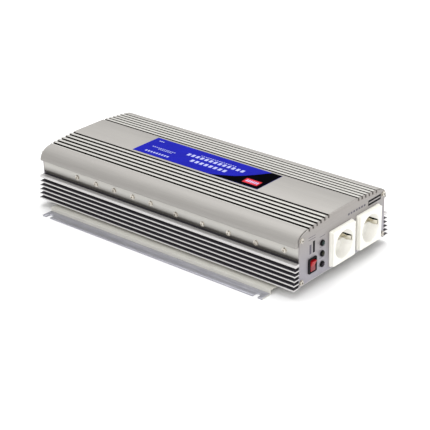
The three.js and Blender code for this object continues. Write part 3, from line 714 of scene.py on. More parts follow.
@dataclass
class Case:
    """The grooved cover and the finned base, with the end plates and their rails."""

    end: float = 228.2
    top: float = 80.0
    grooves: int = 6
    first: float = 32.8
    pitch: float = 8.1
    groove_width: float = 3.4
    groove_depth: float = 4.5
    crown: float = 0.67
    shoulder_x: float = 75.0
    shoulder_half: float = 99.8
    lip_z: float = 58.4
    wall: float = 93.3
    wall_top: float = 60.7
    fins: int = 5
    fin_pitch: float = 6.15
    fin_low: float = 0.4
    fin_thick: float = 2.0
    fin_tip: float = 105.2
    fin_step: float = 0.78
    fin_root: float = 91.5
    thick_low: float = 31.5
    thick_top: float = 35.5
    riser_x: float = 113.4
    flange_z: float = -8.3
    cut_end: float = 230.0
    rim_x: float = 94.6
    fold_r: float = 6.5
    fold_z: float = 43.5
    wall_inner: float = 89.3
    floor_edge: float = 85.0
    floor_top: float = 3.4
    hollow: tuple = ((28.5, 77.0), (28.5, 69.0), (84.0, 69.0))
    lip_round: float = 1.2
    standoffs: tuple = ((-175.0, 0.0, 180.0), (-70.0, 70.0))

    def land(self, k: int) -> float:
        """Height of the crowned top just inside groove k."""
        return self.top if k == 0 else self.top - self.crown * (k - 0.5)

    def grooved_top(self) -> Outline:
        """The grooved top's outline from the shoulder inwards.

        Returns:
            The points, outermost groove first.
        """
        points: Outline = []
        half = self.groove_width / 2
        for k in reversed(range(self.grooves)):
            x = self.first + k * self.pitch
            floor = self.top - self.crown * k - self.groove_depth
            points += [(x + half, self.land(k + 1)), (x + half, floor)]
            points += [(x - half, floor), (x - half, self.land(k))]
        return points

    def cover(self) -> None:
        """Builds and dresses the cover: satin metal, lands with a painted highlight, grooves in painted
        shade.
        """
        seat = self.wall + 0.7
        lip = self.lip_z - self.lip_round
        rise = self.land(self.grooves) - self.lip_z
        run = self.shoulder_half - self.shoulder_x
        half = [(seat, lip), (self.shoulder_half - self.lip_round, lip)]
        half += arc(self.shoulder_x, self.lip_z, run, rise, 90, 4, 30)
        half += self.grooved_top()
        joint = self.wall_top + 0.3
        under = [*self.hollow, (self.hollow[-1][0], joint), (seat, joint)]
        left = [(-x, z) for x, z in reversed(half)]
        left_under = [(-x, z) for x, z in reversed(under)]
        outline = half + left + left_under + under
        bm = extruded(outline, -self.end, self.end)
        long_edges = [
            e
            for e in sharp_edges(bm)
            if abs(e.verts[0].co.y - e.verts[1].co.y) > 0.1 and e.verts[0].co.z > at(0, 0, 70).z
        ]
        bevel_edges(bm, long_edges, 0.15 * MM)
        piece = finish_mesh("cover_extrusion", bm)
        dress(piece, SATIN, LAND_HIGHLIGHT, DEEP_SHADE)
        edge = self.first + (self.grooves - 1) * self.pitch + 3
        # Painted highlight: the lands' tops are paler than the rest of the cover.
        paint(piece, 1, lambda c, n: self.first + 1 < abs(c.x) < edge and n.z > 0.3 and c.z > 72.5)
        # Painted shade: the grooves' floors and walls are nearly black.
        paint(piece, 2, lambda c, n: self.in_groove(c) and abs(n.y) < 0.5)
        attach(piece, "root")
        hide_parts("top_cover")

    def in_groove(self, c: Vector) -> bool:
        """Whether a face lies on a groove's floor or walls.

        Args:
            c: The face's centre, in case millimetres.

        Returns:
            True inside a groove.
        """
        k = round((abs(c.x) - self.first) / self.pitch)
        if not 0 <= k < self.grooves:
            return False
        near = abs(abs(c.x) - self.first - k * self.pitch) < self.groove_width / 2 + 0.12
        crown = self.top - self.crown * k
        return near and crown - self.groove_depth - 0.2 < c.z < crown - 0.05

    def base(self) -> None:
        """Builds and dresses the base: satin wall with painted shade at its foot, fin tips with a painted
        highlight, fin gaps in painted shade.
        """
        half: Outline = []
        for k in range(self.fins):
            low = self.fin_low + k * self.fin_pitch
            tip = self.fin_tip - k * self.fin_step
            if k:
                half.append((self.fin_root, low))
            half += [(tip, low), (tip, low + self.fin_thick), (self.fin_root, low + self.fin_thick)]
        thick_tip = self.fin_tip - self.fins * self.fin_step
        curl = arc(self.wall - self.fold_r, self.fold_z, self.fold_r, self.fold_r, 150, 90, 14)
        half += [(self.fin_root, self.thick_low), (thick_tip, self.thick_low), (thick_tip, self.thick_top)]
        half += [(self.rim_x, self.thick_top), (curl[0][0], self.thick_top), *curl]
        half += [(self.wall, self.wall_top), (self.wall_inner, self.wall_top)]
        half += [(self.wall_inner, self.fold_z), (self.floor_edge, self.fold_z - 4)]
        half += [(self.floor_edge, self.floor_top)]
        left = [(-x, z) for x, z in reversed(half)]
        bm = extruded(half + left, -self.end, self.end)
        tips = [
            e
            for e in sharp_edges(bm)
            if abs(e.verts[0].co.x) > at(98, 0, 0).x and abs(e.verts[0].co.y - e.verts[1].co.y) > 0.1
        ]
        bevel_edges(bm, tips, 0.7 * MM, 3)
        for y in self.standoffs[0]:
            for x in self.standoffs[1]:
                post = bmesh.ops.create_cone(
                    bm,
                    cap_ends=True,
                    segments=20,
                    radius1=4.2 * MM,
                    radius2=3.5 * MM,
                    depth=6.5 * MM,
                    matrix=Matrix.Translation(at(x, y, 6.15)),
                )["verts"]
                rim = {e for v in post for e in v.link_edges if e.verts[0].co.z > at(0, 0, 9).z}
                bevel_edges(bm, [e for e in rim if e.verts[1].co.z > at(0, 0, 9).z], 0.3 * MM)
        self.fin_ends(bm)
        piece = finish_mesh("base_extrusion", bm)
        dress(piece, SATIN, EDGE_AND_HIGHLIGHT, FIN_GAP_SHADE, WALL_FOOT_SHADE)
        # Painted shade: the fins' flanks and the gaps between them are dark.
        paint(piece, 2, lambda c, n: 89.0 < abs(c.x) < 99.5 and c.z < 31.6 and abs(n.y) < 0.5)
        # Painted shade: the side wall darkens towards the fold at its foot.
        paint(piece, 3, lambda c, n: 89.5 < abs(c.x) and 35.6 < c.z < 61.0 and abs(n.y) < 0.5)
        # Painted shade: the strip of the thick fin's top under the fold is dark.
        paint(piece, 2, lambda c, n: 89.5 < abs(c.x) < self.rim_x and 35.4 < c.z < 35.6 and n.z > 0.9)
        # Paler metal: a painted highlight on the fin tips and the thick fin's outer top, and bare cut metal
        # on the ends.
        paint(piece, 1, lambda c, n: abs(c.x) > 99.5 and abs(n.y) < 0.5)
        paint(piece, 1, lambda c, n: abs(n.y) > 0.7 and abs(c.y) > self.end)
        paint(piece, 1, lambda c, n: c.z > 35.4 and self.rim_x < abs(c.x) < 99.5 and n.z > 0.9)
        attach(piece, "root")
        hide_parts("base_shell")

    def fin_ends(self, bm: bmesh.types.BMesh) -> None:
        """Adds the last stretch of each fin, which runs past the plates' edges.

        Args:
            bm: The base's mesh.
        """
        for k in range(self.fins + 1):
            low = self.fin_low + k * self.fin_pitch if k < self.fins else self.thick_low
            top = low + self.fin_thick if k < self.fins else self.thick_top
            tip = self.fin_tip - k * self.fin_step
            for side in (-1, 1):
                for end in (-1, 1):
                    xs = sorted((side * (self.wall + 0.2), side * tip))
                    ys = sorted((end * self.end, end * self.cut_end))
                    block(bm, at(xs[0], ys[0], low), at(xs[1], ys[1], top), 0.2 * MM)

    def plates_and_rails(self) -> None:
        """Dresses the end plates and the rails, with their cut edges softened."""
        for node, name in (("front_panel", "front_plate"), ("rear_panel", "rear_plate")):
            dress(softened(node, name, 0.25), PANEL)
        for side in ("left", "right"):
            rail = softened(f"mounting_rail_{side}", f"rail_{side}", 0.35)
            dress(rail, ZINC, ZINC_SHELF)
            paint(rail, 1, lambda c, n: abs(c.x) < self.riser_x and c.z > self.flange_z)

    def build(self) -> None:
        """Builds the whole case."""
        self.cover()
        self.base()
        self.plates_and_rails()
        LOG.info("case: cover, base, end plates, rails")


# ---- screws -----------------------------------------------------------------------------


@dataclass
class Screws:
    """The pan head screws with cross recesses, on the end plates, side walls and fans."""

    head_r: float = 3.1
    head_h: float = 2.0
    recess: float = 1.1
    cross_reach: float = 0.6
    flat_share: float = 0.78
    dome: float = 0.25
    shank_r: float = 1.45
    seat: float = 230.3
    shade_ring_r: float = 3.9
    plate_x: float = 89.6
    plate_zs: dict = field(default_factory=lambda: {"upper": 65.8, "lower": 7.2})
    side_x: float = 93.3
    side: tuple = (
        (161.0, 47.0),
        (124.0, 47.0),
        (89.0, 47.0),
        (54.0, 47.0),
        (20.5, 47.0),
        (-206.0, 47.0),
        (-24.5, 43.5),
        (-71.0, 43.5),
        (-115.5, 43.5),
        (-160.5, 43.5),
    )

    def head(self) -> bmesh.types.BMesh:
        """A screw head standing on y = 0 and facing -Y.

        Returns:
            The head's bmesh in metres.
        """
        bm = bmesh.new()
        cells = 5
        bmesh.ops.create_grid(bm, x_segments=cells, y_segments=cells, size=1.0)
        cross = []
        for face in bm.faces:
            c = face.calc_center_median()
            if max(abs(c.x), abs(c.y)) < self.cross_reach and min(abs(c.x), abs(c.y)) < 0.1:
                cross.append(face)
        for vert in bm.verts:
            reach = max(abs(vert.co.x), abs(vert.co.y))
            flat = Vector((vert.co.x, vert.co.y, 0.0))
            if reach > 0.9:
                flat = flat.normalized() * self.head_r
            else:
                flat = flat * (self.head_r * self.flat_share)
            drop = self.head_h * self.dome * (flat.length / self.head_r) ** 2
            vert.co = Vector((flat.x, -self.head_h + drop, flat.y)) * MM
        rim = [e for e in bm.edges if e.is_boundary]
        walls = bmesh.ops.extrude_edge_only(bm, edges=rim)["geom"]
        low = [v for v in walls if isinstance(v, bmesh.types.BMVert)]
        for vert in low:
            vert.co.y = 0.0
        made = bmesh.ops.extrude_face_region(bm, geom=cross)["geom"]
        sunk = [v for v in made if isinstance(v, bmesh.types.BMVert)]
        bmesh.ops.delete(bm, geom=cross, context="FACES_ONLY")
        bmesh.ops.translate(bm, verts=sunk, vec=(0, self.recess * MM, 0))
        bmesh.ops.holes_fill(bm, edges=[e for e in bm.edges if e.is_boundary], sides=0)
        bmesh.ops.recalc_face_normals(bm, faces=bm.faces)
        return bm

    def one(self, name: str, place: Vector, turn: Matrix, shank: float) -> bpy.types.Object:
        """Builds one screw.

        Args:
            name: The piece's name.
            place: Where its head sits, in metres.
            turn: Turns its head from facing -Y.
            shank: Length of its threaded part in millimetres.

        Returns:
            The screw.
        """
        bm = self.head()
        turned(bm, [(self.shank_r, -0.1), (self.shank_r, shank - 1), (0.6, shank), (0.0, shank)], 16)
        # A near-black disc under the head: painted shade round the screw's seat.
        turned(bm, [(0.0, -0.02), (self.shade_ring_r, -0.02), (self.shade_ring_r, -0.15), (0.0, -0.15)], 24)
        bm.normal_update()
        # Painted shade: the head's side, its deep recess and the disc under it are near black.
        deep = (self.recess * 0.7 - self.head_h) * MM
        for face in bm.faces:
            face.material_index = int(abs(face.normal.y) < 0.55 or face.calc_center_median().y > deep)
        bmesh.ops.transform(bm, matrix=Matrix.Translation(place) @ turn, verts=bm.verts)
        piece = finish_mesh(name, bm)
        dress(piece, SCREW, DEEP_SHADE)
        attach(piece, "root")
        return piece

    def build(self) -> None:
        """Builds the plate screws and the side screws."""
        for end, sign, spin in (("front", -1, 0.0), ("rear", 1, math.pi)):
            for high, z in self.plate_zs.items():
                for side, x in (("left", -self.plate_x), ("right", self.plate_x)):
                    turn = Matrix.Rotation(spin, 4, "Z")
                    place = at(x, sign * self.seat, z)
                    piece = self.one(f"{end}_plate_screw_{high}_{side}", place, turn, 11.0)
                    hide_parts(f"{end}_screw_{high}_{side}")
        for side, sign in (("left", -1), ("right", 1)):
            for i, (y, z) in enumerate(self.side):
                turn = Matrix.Rotation(sign * math.pi / 2, 4, "Z") @ Matrix.Rotation(0.6 * i, 4, "Y")
                self.one(f"side_screw_{side}_{i + 1}", at(sign * self.side_x, y, z), turn, 5.0)
        LOG.info("screws: 8 plate screws, 20 side screws")


# ---- outlets ----------------------------------------------------------------------------


@dataclass
class Outlets:
    """The two earthed mains outlets with their earth straps."""

    xs: dict = field(default_factory=lambda: {"left": -6.6, "right": 53.1})
    z: float = 31.4
    half: float = 25.0
    proud: float = 7.0
    well: float = 19.5
    depth: float = 17.5
    pin: float = 9.5
    pin_r: float = 3.2
    strap: float = 3.3
    slot_gap: float = 2.0
    seat: float = -230.3
    barrel: float = 23.2
    barrel_depth: float = 24.0

    def rings(self) -> list[Ring]:
        """The outlet's skin from the back of its barrel round to the floor of its well.

        Returns:
            The rings in order.
        """
        s, h = self.seat, self.half
        face = s - self.proud
        floor = face + self.depth
        return [
            (s + self.barrel_depth, circle(self.barrel - 1)),
            (s + self.barrel_depth - 1, circle(self.barrel)),
            (s, circle(self.barrel)),
            (s, rounded_box(h, h, 1.6)),
            (s - 2.6, rounded_box(h, h, 1.6)),
            (s - 3.0, rounded_box(h - 0.35, h - 0.35, 1.6)),
            (s - 3.1, rounded_box(h - 0.8, h - 0.8, 1.6)),
            (face + 0.8, rounded_box(h - 0.8, h - 0.8, 1.6)),
            (face + 0.25, rounded_box(h - 1.05, h - 1.05, 1.5)),
            (face, rounded_box(h - 1.6, h - 1.6, 1.4)),
            (face, rounded_box(h - 3.4, h - 3.4, 3.0)),
            (face + 0.35, rounded_box(h - 3.7, h - 3.7, 3.0)),
            (face + 0.35, circle(self.well + 0.9)),
            (face + 0.55, circle(self.well + 0.3)),
            (face + 1.1, circle(self.well)),
            (floor - 1.2, circle(self.well - 0.2)),
            (floor - 0.3, circle(self.well - 0.6)),
            (floor, circle(self.well - 1.2)),
        ]

    def cutter(self, name: str, low: Vector, high: Vector) -> bpy.types.Object:
        """A block that cuts a slot.

        Args:
            name: The cutter's name.
            low: Its lowest corner in metres.
            high: Its highest corner in metres.

        Returns:
            The cutter.
        """
        bm = bmesh.new()
        block(bm, low, high, 0.2 * MM)
        return finish_mesh(name, bm)

    def pin_cutter(self, name: str, x: float, z: float) -> bpy.types.Object:
        """A round bar with a countersink that cuts a pin hole.

        Args:
            name: The cutter's name.
            x: The hole's place, sideways.
            z: Its height.

        Returns:
            The cutter.
        """
        floor = self.seat - self.proud + self.depth
        bm = bmesh.new()
        profile = [
            (0.0, floor - 1),
            (self.pin_r + 1.8, floor - 1),
            (self.pin_r + 0.8, floor),
            (self.pin_r, floor + 0.8),
            (self.pin_r, floor + 11),
            (0.0, floor + 11),
        ]
        turned(bm, profile, 32)
        bmesh.ops.translate(bm, verts=bm.verts, vec=at(x, 0, z))
        return finish_mesh(name, bm)

    def one(self, side: str, x: float) -> None:
        """Builds one outlet and dresses its strap.

        Args:
            side: left or right.
            x: Its middle, sideways.
        """
        face = self.seat - self.proud
        floor = face + self.depth
        reach = self.well + 2
        bm = bmesh.new()
        lofted(bm, self.rings(), 128, (True, True), 0.8)
        bmesh.ops.translate(bm, verts=bm.verts, vec=at(x, 0, self.z))
        piece = finish_mesh(f"mains_outlet_{side}", bm)
        cutters = [
            self.pin_cutter(f"pin_{side}_{i}", x, self.z + dz) for i, dz in enumerate((self.pin, -self.pin))
        ]
        low = at(x - reach, face + 3, self.z - self.strap)
        high = at(x + reach, floor + 1.4, self.z + self.strap + self.slot_gap)
        cutters.append(self.cutter(f"slot_{side}", low, high))
        carve(piece, cutters)
        dress(piece, IVORY, IVORY_WELL, BLACK)

        def in_well(c: Vector, n: Vector) -> bool:
            """Whether a face is inside the well."""
            return math.hypot(c.x - x, c.z - self.z) < self.well + 0.1 and c.y > face + 1.0

        def in_painted_shade_slot(c: Vector, n: Vector) -> bool:
            """Whether a face is inside the channel that holds the earth contact, whose faces take black as
            painted shade.

            Args:
                c: The face's centre, in case millimetres.
                n: Its normal; not used.

            Returns:
                True inside the channel.
            """
            level = abs(c.z - self.z) < self.strap + self.slot_gap + 0.1
            aside = self.well - 0.1 < abs(c.x - x) < reach + 0.1
            return level and aside and face + 2.9 < c.y < floor + 2

        paint(piece, 1, in_well)
        # Painted shade: the channel's faces are black.
        paint(piece, 2, in_painted_shade_slot)
        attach(piece, "root")
        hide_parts(f"outlet_{side}")
        dress(softened(f"earth_strap_{side}", f"earth_contact_{side}", 0.15), SPRING)

    def build(self) -> None:
        """Builds both outlets and dresses their straps."""
        for side, x in self.xs.items():
            self.one(side, x)
        LOG.info("outlets: 2 outlets, 2 earth straps")


# ---- switch and lamps -------------------------------------------------------------------


@dataclass
class Controls:
    """The rocker switch and the three lamps on the front plate."""

    x: float = -67.4
    z: float = 23.8
    seat: float = -230.3
    pivot: float = -229.0
    tilt: float = 9.0
    key_half: float = 4.8
    lamp_x: float = -46.5
    lamps: dict = field(
        default_factory=lambda: {
            "upper": (46.7, LENS_GREEN),
            "middle": (31.8, LENS_OLIVE),
            "lower": (16.9, LENS_PURPLE),
        }
    )

    def bezel(self) -> None:
        """Builds the black frame and housing of the switch."""
        s = self.seat
        rings = [
            (s + 20, rounded_box(6.4, 9.2, 0.6)),
            (s, rounded_box(6.7, 9.5, 0.6)),
            (s, rounded_box(8.5, 10.5, 1.6)),
            (s - 1.2, rounded_box(8.5, 10.5, 1.6)),
            (s - 1.8, rounded_box(8.15, 10.15, 1.5)),
            (s - 2.0, rounded_box(7.6, 9.6, 1.3)),
            (s - 2.0, rounded_box(6.1, 9.2, 0.9)),
            (s - 1.5, rounded_box(5.6, 8.85, 0.7)),
            (self.pivot + 5, rounded_box(5.5, 8.8, 0.6)),
        ]
        bm = bmesh.new()
        lofted(bm, rings, 96, (True, True), 0.7)
        bmesh.ops.translate(bm, verts=bm.verts, vec=at(self.x, 0, self.z))
        piece = finish_mesh("switch_bezel", bm)
        dress(piece, BLACK)
        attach(piece, "root")
        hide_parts("switch_housing")

    def key(self) -> None:
        """Builds the red rocker: two faces that meet in a shallow valley."""
        outline = [(-4.6, -7.2), (3.0, -6.2), (3.0, 6.2), (-4.6, 7.2), (-3.7, 3.4), (-3.0, 0.0), (-3.7, -3.4)]
        bm = bmesh.new()
        corners = [Vector((-self.key_half, y, z)) * MM for y, z in outline]
        pushed(bm, corners, Vector((2 * self.key_half * MM, 0, 0)))
        bevel_edges(bm, sharp_edges(bm), 0.45 * MM, 3)
        place = Matrix.Translation(at(self.x, self.pivot, self.z))
        turn = Matrix.Rotation(math.radians(self.tilt), 4, "X")
        bmesh.ops.transform(bm, matrix=place @ turn, verts=bm.verts)
        piece = finish_mesh("rocker_key", bm)
        dress(piece, RED_TOP, RED_LOW)
        paint(piece, 1, lambda c, n: c.z < self.z - 0.5 and n.y < -0.7)
        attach(piece, "rocker")
        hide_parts("power_rocker")

    def lamp(self, where: str, z: float, lens: Finish) -> None:
        """Builds one lamp: a round holder and a domed lens.

        Args:
            where: Its place in the column.
            z: Its height.
            lens: The lens's finish.
        """
        s = self.seat
        profile = [
            (0.0, s + 9),
            (3.2, s + 9),
            (3.2, s),
            (4.2, s),
            (4.2, s - 1.1),
            (4.0, s - 1.6),
            (3.4, s - 2.0),
            (2.6, s - 1.9),
            (2.5, s - 1.7),
            (2.4, s - 2.4),
            (1.9, s - 3.1),
            (1.0, s - 3.6),
            (0.0, s - 3.8),
        ]
        bm = bmesh.new()
        turned(bm, profile, 40)
        bmesh.ops.translate(bm, verts=bm.verts, vec=at(self.lamp_x, 0, z))
        piece = finish_mesh(f"lamp_{where}", bm)
        dress(piece, LAMP, lens)
        paint(piece, 1, lambda c, n: math.hypot(c.x - self.lamp_x, c.z - z) < 2.5 and c.y < s - 1.7)
        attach(piece, "root")
        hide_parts(f"indicator_{where}")

    def build(self) -> None:
        """Builds the switch and the lamps."""
        self.bezel()
        self.key()
        for where, (z, lens) in self.lamps.items():
            self.lamp(where, z, lens)
        LOG.info("controls: switch, rocker, 3 lamps")


# ---- printing ---------------------------------------------------------------------------


@dataclass
class Printing:
    """The label on the top and the plain marks on the front plate. Nothing is lettered."""

    half_w: float = 27.2
    front: float = -110.0
    rear: float = 114.5
    top: float = 80.1
    thick: float = 0.3
    plate: float = -230.0

    def patch(self, name: str, corners: Outline, finish: Finish, lift: float) -> None:
        """A thin printed area on the label.

        Args:
            name: The piece's name.
            corners: Its outline in X and Y.
            finish: Its ink.
            lift: How far it stands above the label.
        """
        low = self.top + self.thick
        bm = bmesh.new()
        pushed(bm, [at(x, y, low) for x, y in corners], Vector((0, 0, lift * MM)))
        piece = finish_mesh(name, bm, smooth=False)
        dress(piece, finish)
        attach(piece, "root")

    def row(self, name: str, x: float, y0: float, y1: float, height: float, count: int) -> None:
        """A row of short pale bars that stands for a line of print.

        Args:
            name: The piece's name.
            x: The row's middle, sideways.
            y0: Where the row starts.
            y1: Where it ends.
            height: Height of the bars.
            count: Number of bars.
        """
        low = self.top + self.thick
        step = (y1 - y0) / count
        bm = bmesh.new()
        for i in range(count):
            start = y0 + (i + 0.2) * step
            end = y0 + (i + 0.8) * step
            corner = at(x - height / 2, min(start, end), low)
            block(bm, corner, at(x + height / 2, max(start, end), low + 0.14), 0.02 * MM)
        piece = finish_mesh(name, bm, smooth=False)
        dress(piece, LABEL_PALE)
        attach(piece, "root")

    def label(self) -> None:
        """Builds the label film and its colour areas."""
        bm = bmesh.new()
        low = at(-self.half_w, self.front, self.top)
        block(bm, low, at(self.half_w, self.rear, self.top + self.thick), 0.1 * MM)
        piece = finish_mesh("label_film", bm, smooth=False)
        dress(piece, LABEL_BLUE)
        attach(piece, "root")
        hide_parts("label_plate")
        inner = self.half_w - 0.1
        front = self.front + 0.1
        curve = [(-inner, -26.5), (-20.0, -44.0), (-11.8, -59.5), (-2.0, -70.0)]
        curve += [(8.4, -78.9), (18.0, -86.5), (inner, -92.7)]
        self.patch("label_dark_area", [(-inner, front), *curve, (inner, front)], LABEL_BLACK, 0.05)
        square = [(-19.8, -103.0), (-19.8, -78.0), (-6.5, -77.0), (-6.5, -102.5)]
        self.patch("label_red_area", square, LABEL_RED, 0.1)
        for name, *sizes in (
            ("patch", -13.0, -80.0, -101.0, 6.0, 6),
            ("large", 6.5, 42.0, -62.0, 7.0, 13),
            ("second", -7.5, 24.0, -42.0, 7.0, 8),
            ("thin", 13.5, 22.0, -42.0, 1.6, 16),
            ("small_1", -18.0, 99.0, 54.0, 4.0, 9),
            ("small_2", -5.2, 86.0, 60.0, 1.8, 8),
            ("small_3", -1.6, 100.0, 56.0, 1.8, 12),
            ("small_4", 18.5, 105.0, 95.0, 2.4, 3),
        ):
            self.row(f"label_row_{name}", *sizes)

    def mark(self, name: str, low: tuple[float, float], high: tuple[float, float], ink: Finish) -> None:
        """A thin printed bar on the front plate.

        Args:
            name: The piece's name.
            low: Its lowest x and z.
            high: Its highest x and z.
            ink: Its finish.
        """
        bm = bmesh.new()
        corners = at(low[0], self.plate - 0.05, low[1]), at(high[0], self.plate + 0.01, high[1])
        block(bm, *corners, 0.01 * MM)
        piece = finish_mesh(name, bm, smooth=False)
        dress(piece, ink)
        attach(piece, "root")

    def marks(self) -> None:
        """Builds the plain bars on the front plate."""
        bars = {
            "above_switch_1": ((-75.0, 63.0), (-60.5, 63.7), PRINT_GREY),
            "above_switch_2": ((-75.0, 59.6), (-60.5, 60.3), PRINT_GREY),
            "switch_left": ((-72.8, 40.0), (-68.8, 53.0), PRINT_GREY),
            "switch_right": ((-65.8, 40.0), (-61.4, 56.0), PRINT_DARK),
        }
        for where, z in (("upper", 55.6), ("middle", 40.6), ("lower", 25.6)):
            bars[f"lamp_{where}"] = ((-51.5, z), (-40.5, z + 0.7), PRINT_GREY)
        for i in range(7):
            x = 9.3 + i * 5.9
            bars[f"outlets_{i + 1}"] = ((x, 63.4), (x + 3.8, 66.2), PRINT_GREY)
        bars |= {
            "box_upper": ((55.0, 65.0), (84.0, 68.0), PRINT_DARK),
            "box_lower": ((55.0, 60.2), (84.0, 63.2), PRINT_DARK),
            "box_left": ((55.0, 61.0), (56.0, 66.6), PRINT_DARK),
            "box_right": ((83.0, 61.0), (84.0, 66.6), PRINT_DARK),
        }
        for name, bar in bars.items():
            self.mark(f"mark_{name}", *bar)

    def build(self) -> None:
        """Builds the label and the marks."""
        self.label()
        self.marks()
        LOG.info("printing: label and plate marks")


# ---- rear -------------------------------------------------------------------------------


@dataclass
class Rear:
    """The fans with their guards, and the battery terminals."""

    fan_x: float = 52.5
    fan_z: float = 37.5
    seat: float = 230.3
    hub: float = 14.0
    blade_end: float = 26.6
    blades: int = 7
    wire: float = 0.8
    eye: float = 25.0
    rear: float = 228.2
    depth: float = 25.0
    knob_r: float = 11.0
    knob_y: float = 241.8
    knob_t: float = 16.0
    terminals: dict = field(
        default_factory=lambda: {"positive": (48.0, RED_KNOB), "negative": (22.4, BLACK)}
    )

    def wheel(self, side: str, cx: float) -> None:
        """Builds a fan wheel: a round hub and twisted blades.

        Args:
            side: left or right.
            cx: Its middle, sideways.
        """
        front = self.rear - self.depth + 6
        back = self.rear - 3
        bm = bmesh.new()
        hub = [(0, front), (self.hub, front), (self.hub, back - 2)]
        hub += [(self.hub - 0.6, back - 0.6), (self.hub - 2, back), (0, back)]
        turned(bm, hub, 48)
        middle = (front + back) / 2 + 0.5
        for b in range(self.blades):
            grid = bmesh.ops.create_grid(bm, x_segments=8, y_segments=10, size=1.0)["verts"]
            for vert in grid:
                along = (vert.co.x + 1) / 2
                across = vert.co.y
                radius = self.hub - 0.5 + along * (self.blade_end - self.hub + 0.5)
                sweep = across * (0.42 - 0.06 * along) + 0.14 * along
                angle = b * math.tau / self.blades + sweep
                y = middle + across * (5.6 - 1.2 * along) + 0.9 * math.cos(across * 1.5)
                vert.co = Vector((radius * math.cos(angle), y, radius * math.sin(angle))) * MM
            faces = list({f for v in grid for f in v.link_faces})
            bmesh.ops.solidify(bm, geom=faces, thickness=1.2 * MM)
        bmesh.ops.translate(bm, verts=bm.verts, vec=at(cx, 0, self.fan_z))
        piece = finish_mesh(f"fan_wheel_{side}_blades", bm)
        dress(piece, FAN)
        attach(piece, f"fan_wheel_{side}")
        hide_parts(f"fan_rotor_{side}")

    def guard(self, side: str, cx: float) -> None:
        """Builds a wire guard of three rings, four legs and four eyes.

        Args:
            side: left or right.
            cx: Its middle, sideways.
        """
        wire = self.wire
        y = self.seat + wire
        bm = bmesh.new()
        for radius in (11.0, 19.5, 28.0):
            section = [
                (radius + wire * math.cos(t), y + wire * math.sin(t))
                for t in (i * math.tau / 12 for i in range(13))
            ]
            turned(bm, section, 72)
        for angle in (math.pi / 4, 3 * math.pi / 4, 5 * math.pi / 4, 7 * math.pi / 4):
            corner = self.eye * math.sqrt(2)
            reach = (11.0, corner - 2.6)
            middle = sum(reach) / 2
            turn = Matrix.Rotation(-angle, 4, "Y")
            lay = Matrix.Translation((middle * MM, y * MM, 0)) @ Matrix.Rotation(math.pi / 2, 4, "Y")
            bmesh.ops.create_cone(
                bm,
                cap_ends=True,
                segments=12,
                radius1=wire * MM,
                radius2=wire * MM,
                depth=(reach[1] - reach[0]) * MM,
                matrix=turn @ lay,
            )
            eye = bmesh.new()
            inner, outer = 2.0, 3.4
            washer = [(inner, y + wire), (outer, y + wire), (outer, y - wire), (inner, y - wire)]
            turned(eye, [*washer, washer[0]], 24)
            shift = Vector((corner * math.cos(angle), 0, corner * math.sin(angle)))
            bmesh.ops.translate(eye, verts=eye.verts, vec=shift * MM)
            spare = bpy.data.meshes.new("eye")
            eye.to_mesh(spare)
            eye.free()
            bm.from_mesh(spare)
            bpy.data.meshes.remove(spare)
        bmesh.ops.translate(bm, verts=bm.verts, vec=at(cx, 0, self.fan_z))
        piece = finish_mesh(f"guard_wire_{side}", bm)
        dress(piece, BRIGHT)
        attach(piece, "root")
        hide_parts(f"fan_guard_{side}")

    def screws(self, side: str, cx: float) -> None:
        """Builds the four screws that hold a fan, through the guard's eyes.

        Args:
            side: left or right.
            cx: The fan's middle, sideways.
        """
        half_turn = Matrix.Rotation(math.pi, 4, "Z")
        corners = [(dx, dz) for dx in (-self.eye, self.eye) for dz in (-self.eye, self.eye)]
        for i, (dx, dz) in enumerate(corners):
            seat = at(cx + dx, self.seat + 2 * self.wire, self.fan_z + dz)
            turn = half_turn @ Matrix.Rotation(0.5 * i, 4, "Y")
            Screws().one(f"fan_screw_{side}_{i + 1}", seat, turn, 12.0)

    def knob(self, pole: str, z: float, look: Finish) -> None:
        """Builds a fluted terminal knob.

        Args:
            pole: positive or negative.
            z: Its height.
            look: Its finish.
        """

        def fluted(radius: float) -> Shape:
            """A circle with twelve shallow flutes.

            Args:
                radius: Radius over the ribs.

            Returns:
                The outline as a function of the angle round it.
            """

            def point(t: float) -> tuple[float, float]:
                """The outline's point at one angle."""
                dip = 0.9 * max(0.0, math.cos(12 * t)) ** 2
                return ((radius - dip) * math.cos(t), (radius - dip) * math.sin(t))

            return point

        y, t, r = self.knob_y, self.knob_t, self.knob_r
        bore = 4.3
        rings = [
            (y, circle(bore)),
            (y, circle(r - 2)),
            (y + 0.2, fluted(r - 0.8)),
            (y + 1.0, fluted(r)),
            (y + t - 2.0, fluted(r)),
            (y + t - 0.8, fluted(r - 0.5)),
            (y + t - 0.2, fluted(r - 1.2)),
            (y + t, circle(r - 3)),
            (y + t, circle(bore + 0.5)),
            (y + t - 0.5, circle(bore)),
            (y, circle(bore)),
        ]
        bm = bmesh.new()
        lofted(bm, rings, 144, (False, False))
        bmesh.ops.translate(bm, verts=bm.verts, vec=at(0, 0, z))
        piece = finish_mesh(f"terminal_knob_{pole}", bm)
        dress(piece, look)
        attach(piece, f"{pole}_knob")
        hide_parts(f"dc_{pole}_knob")

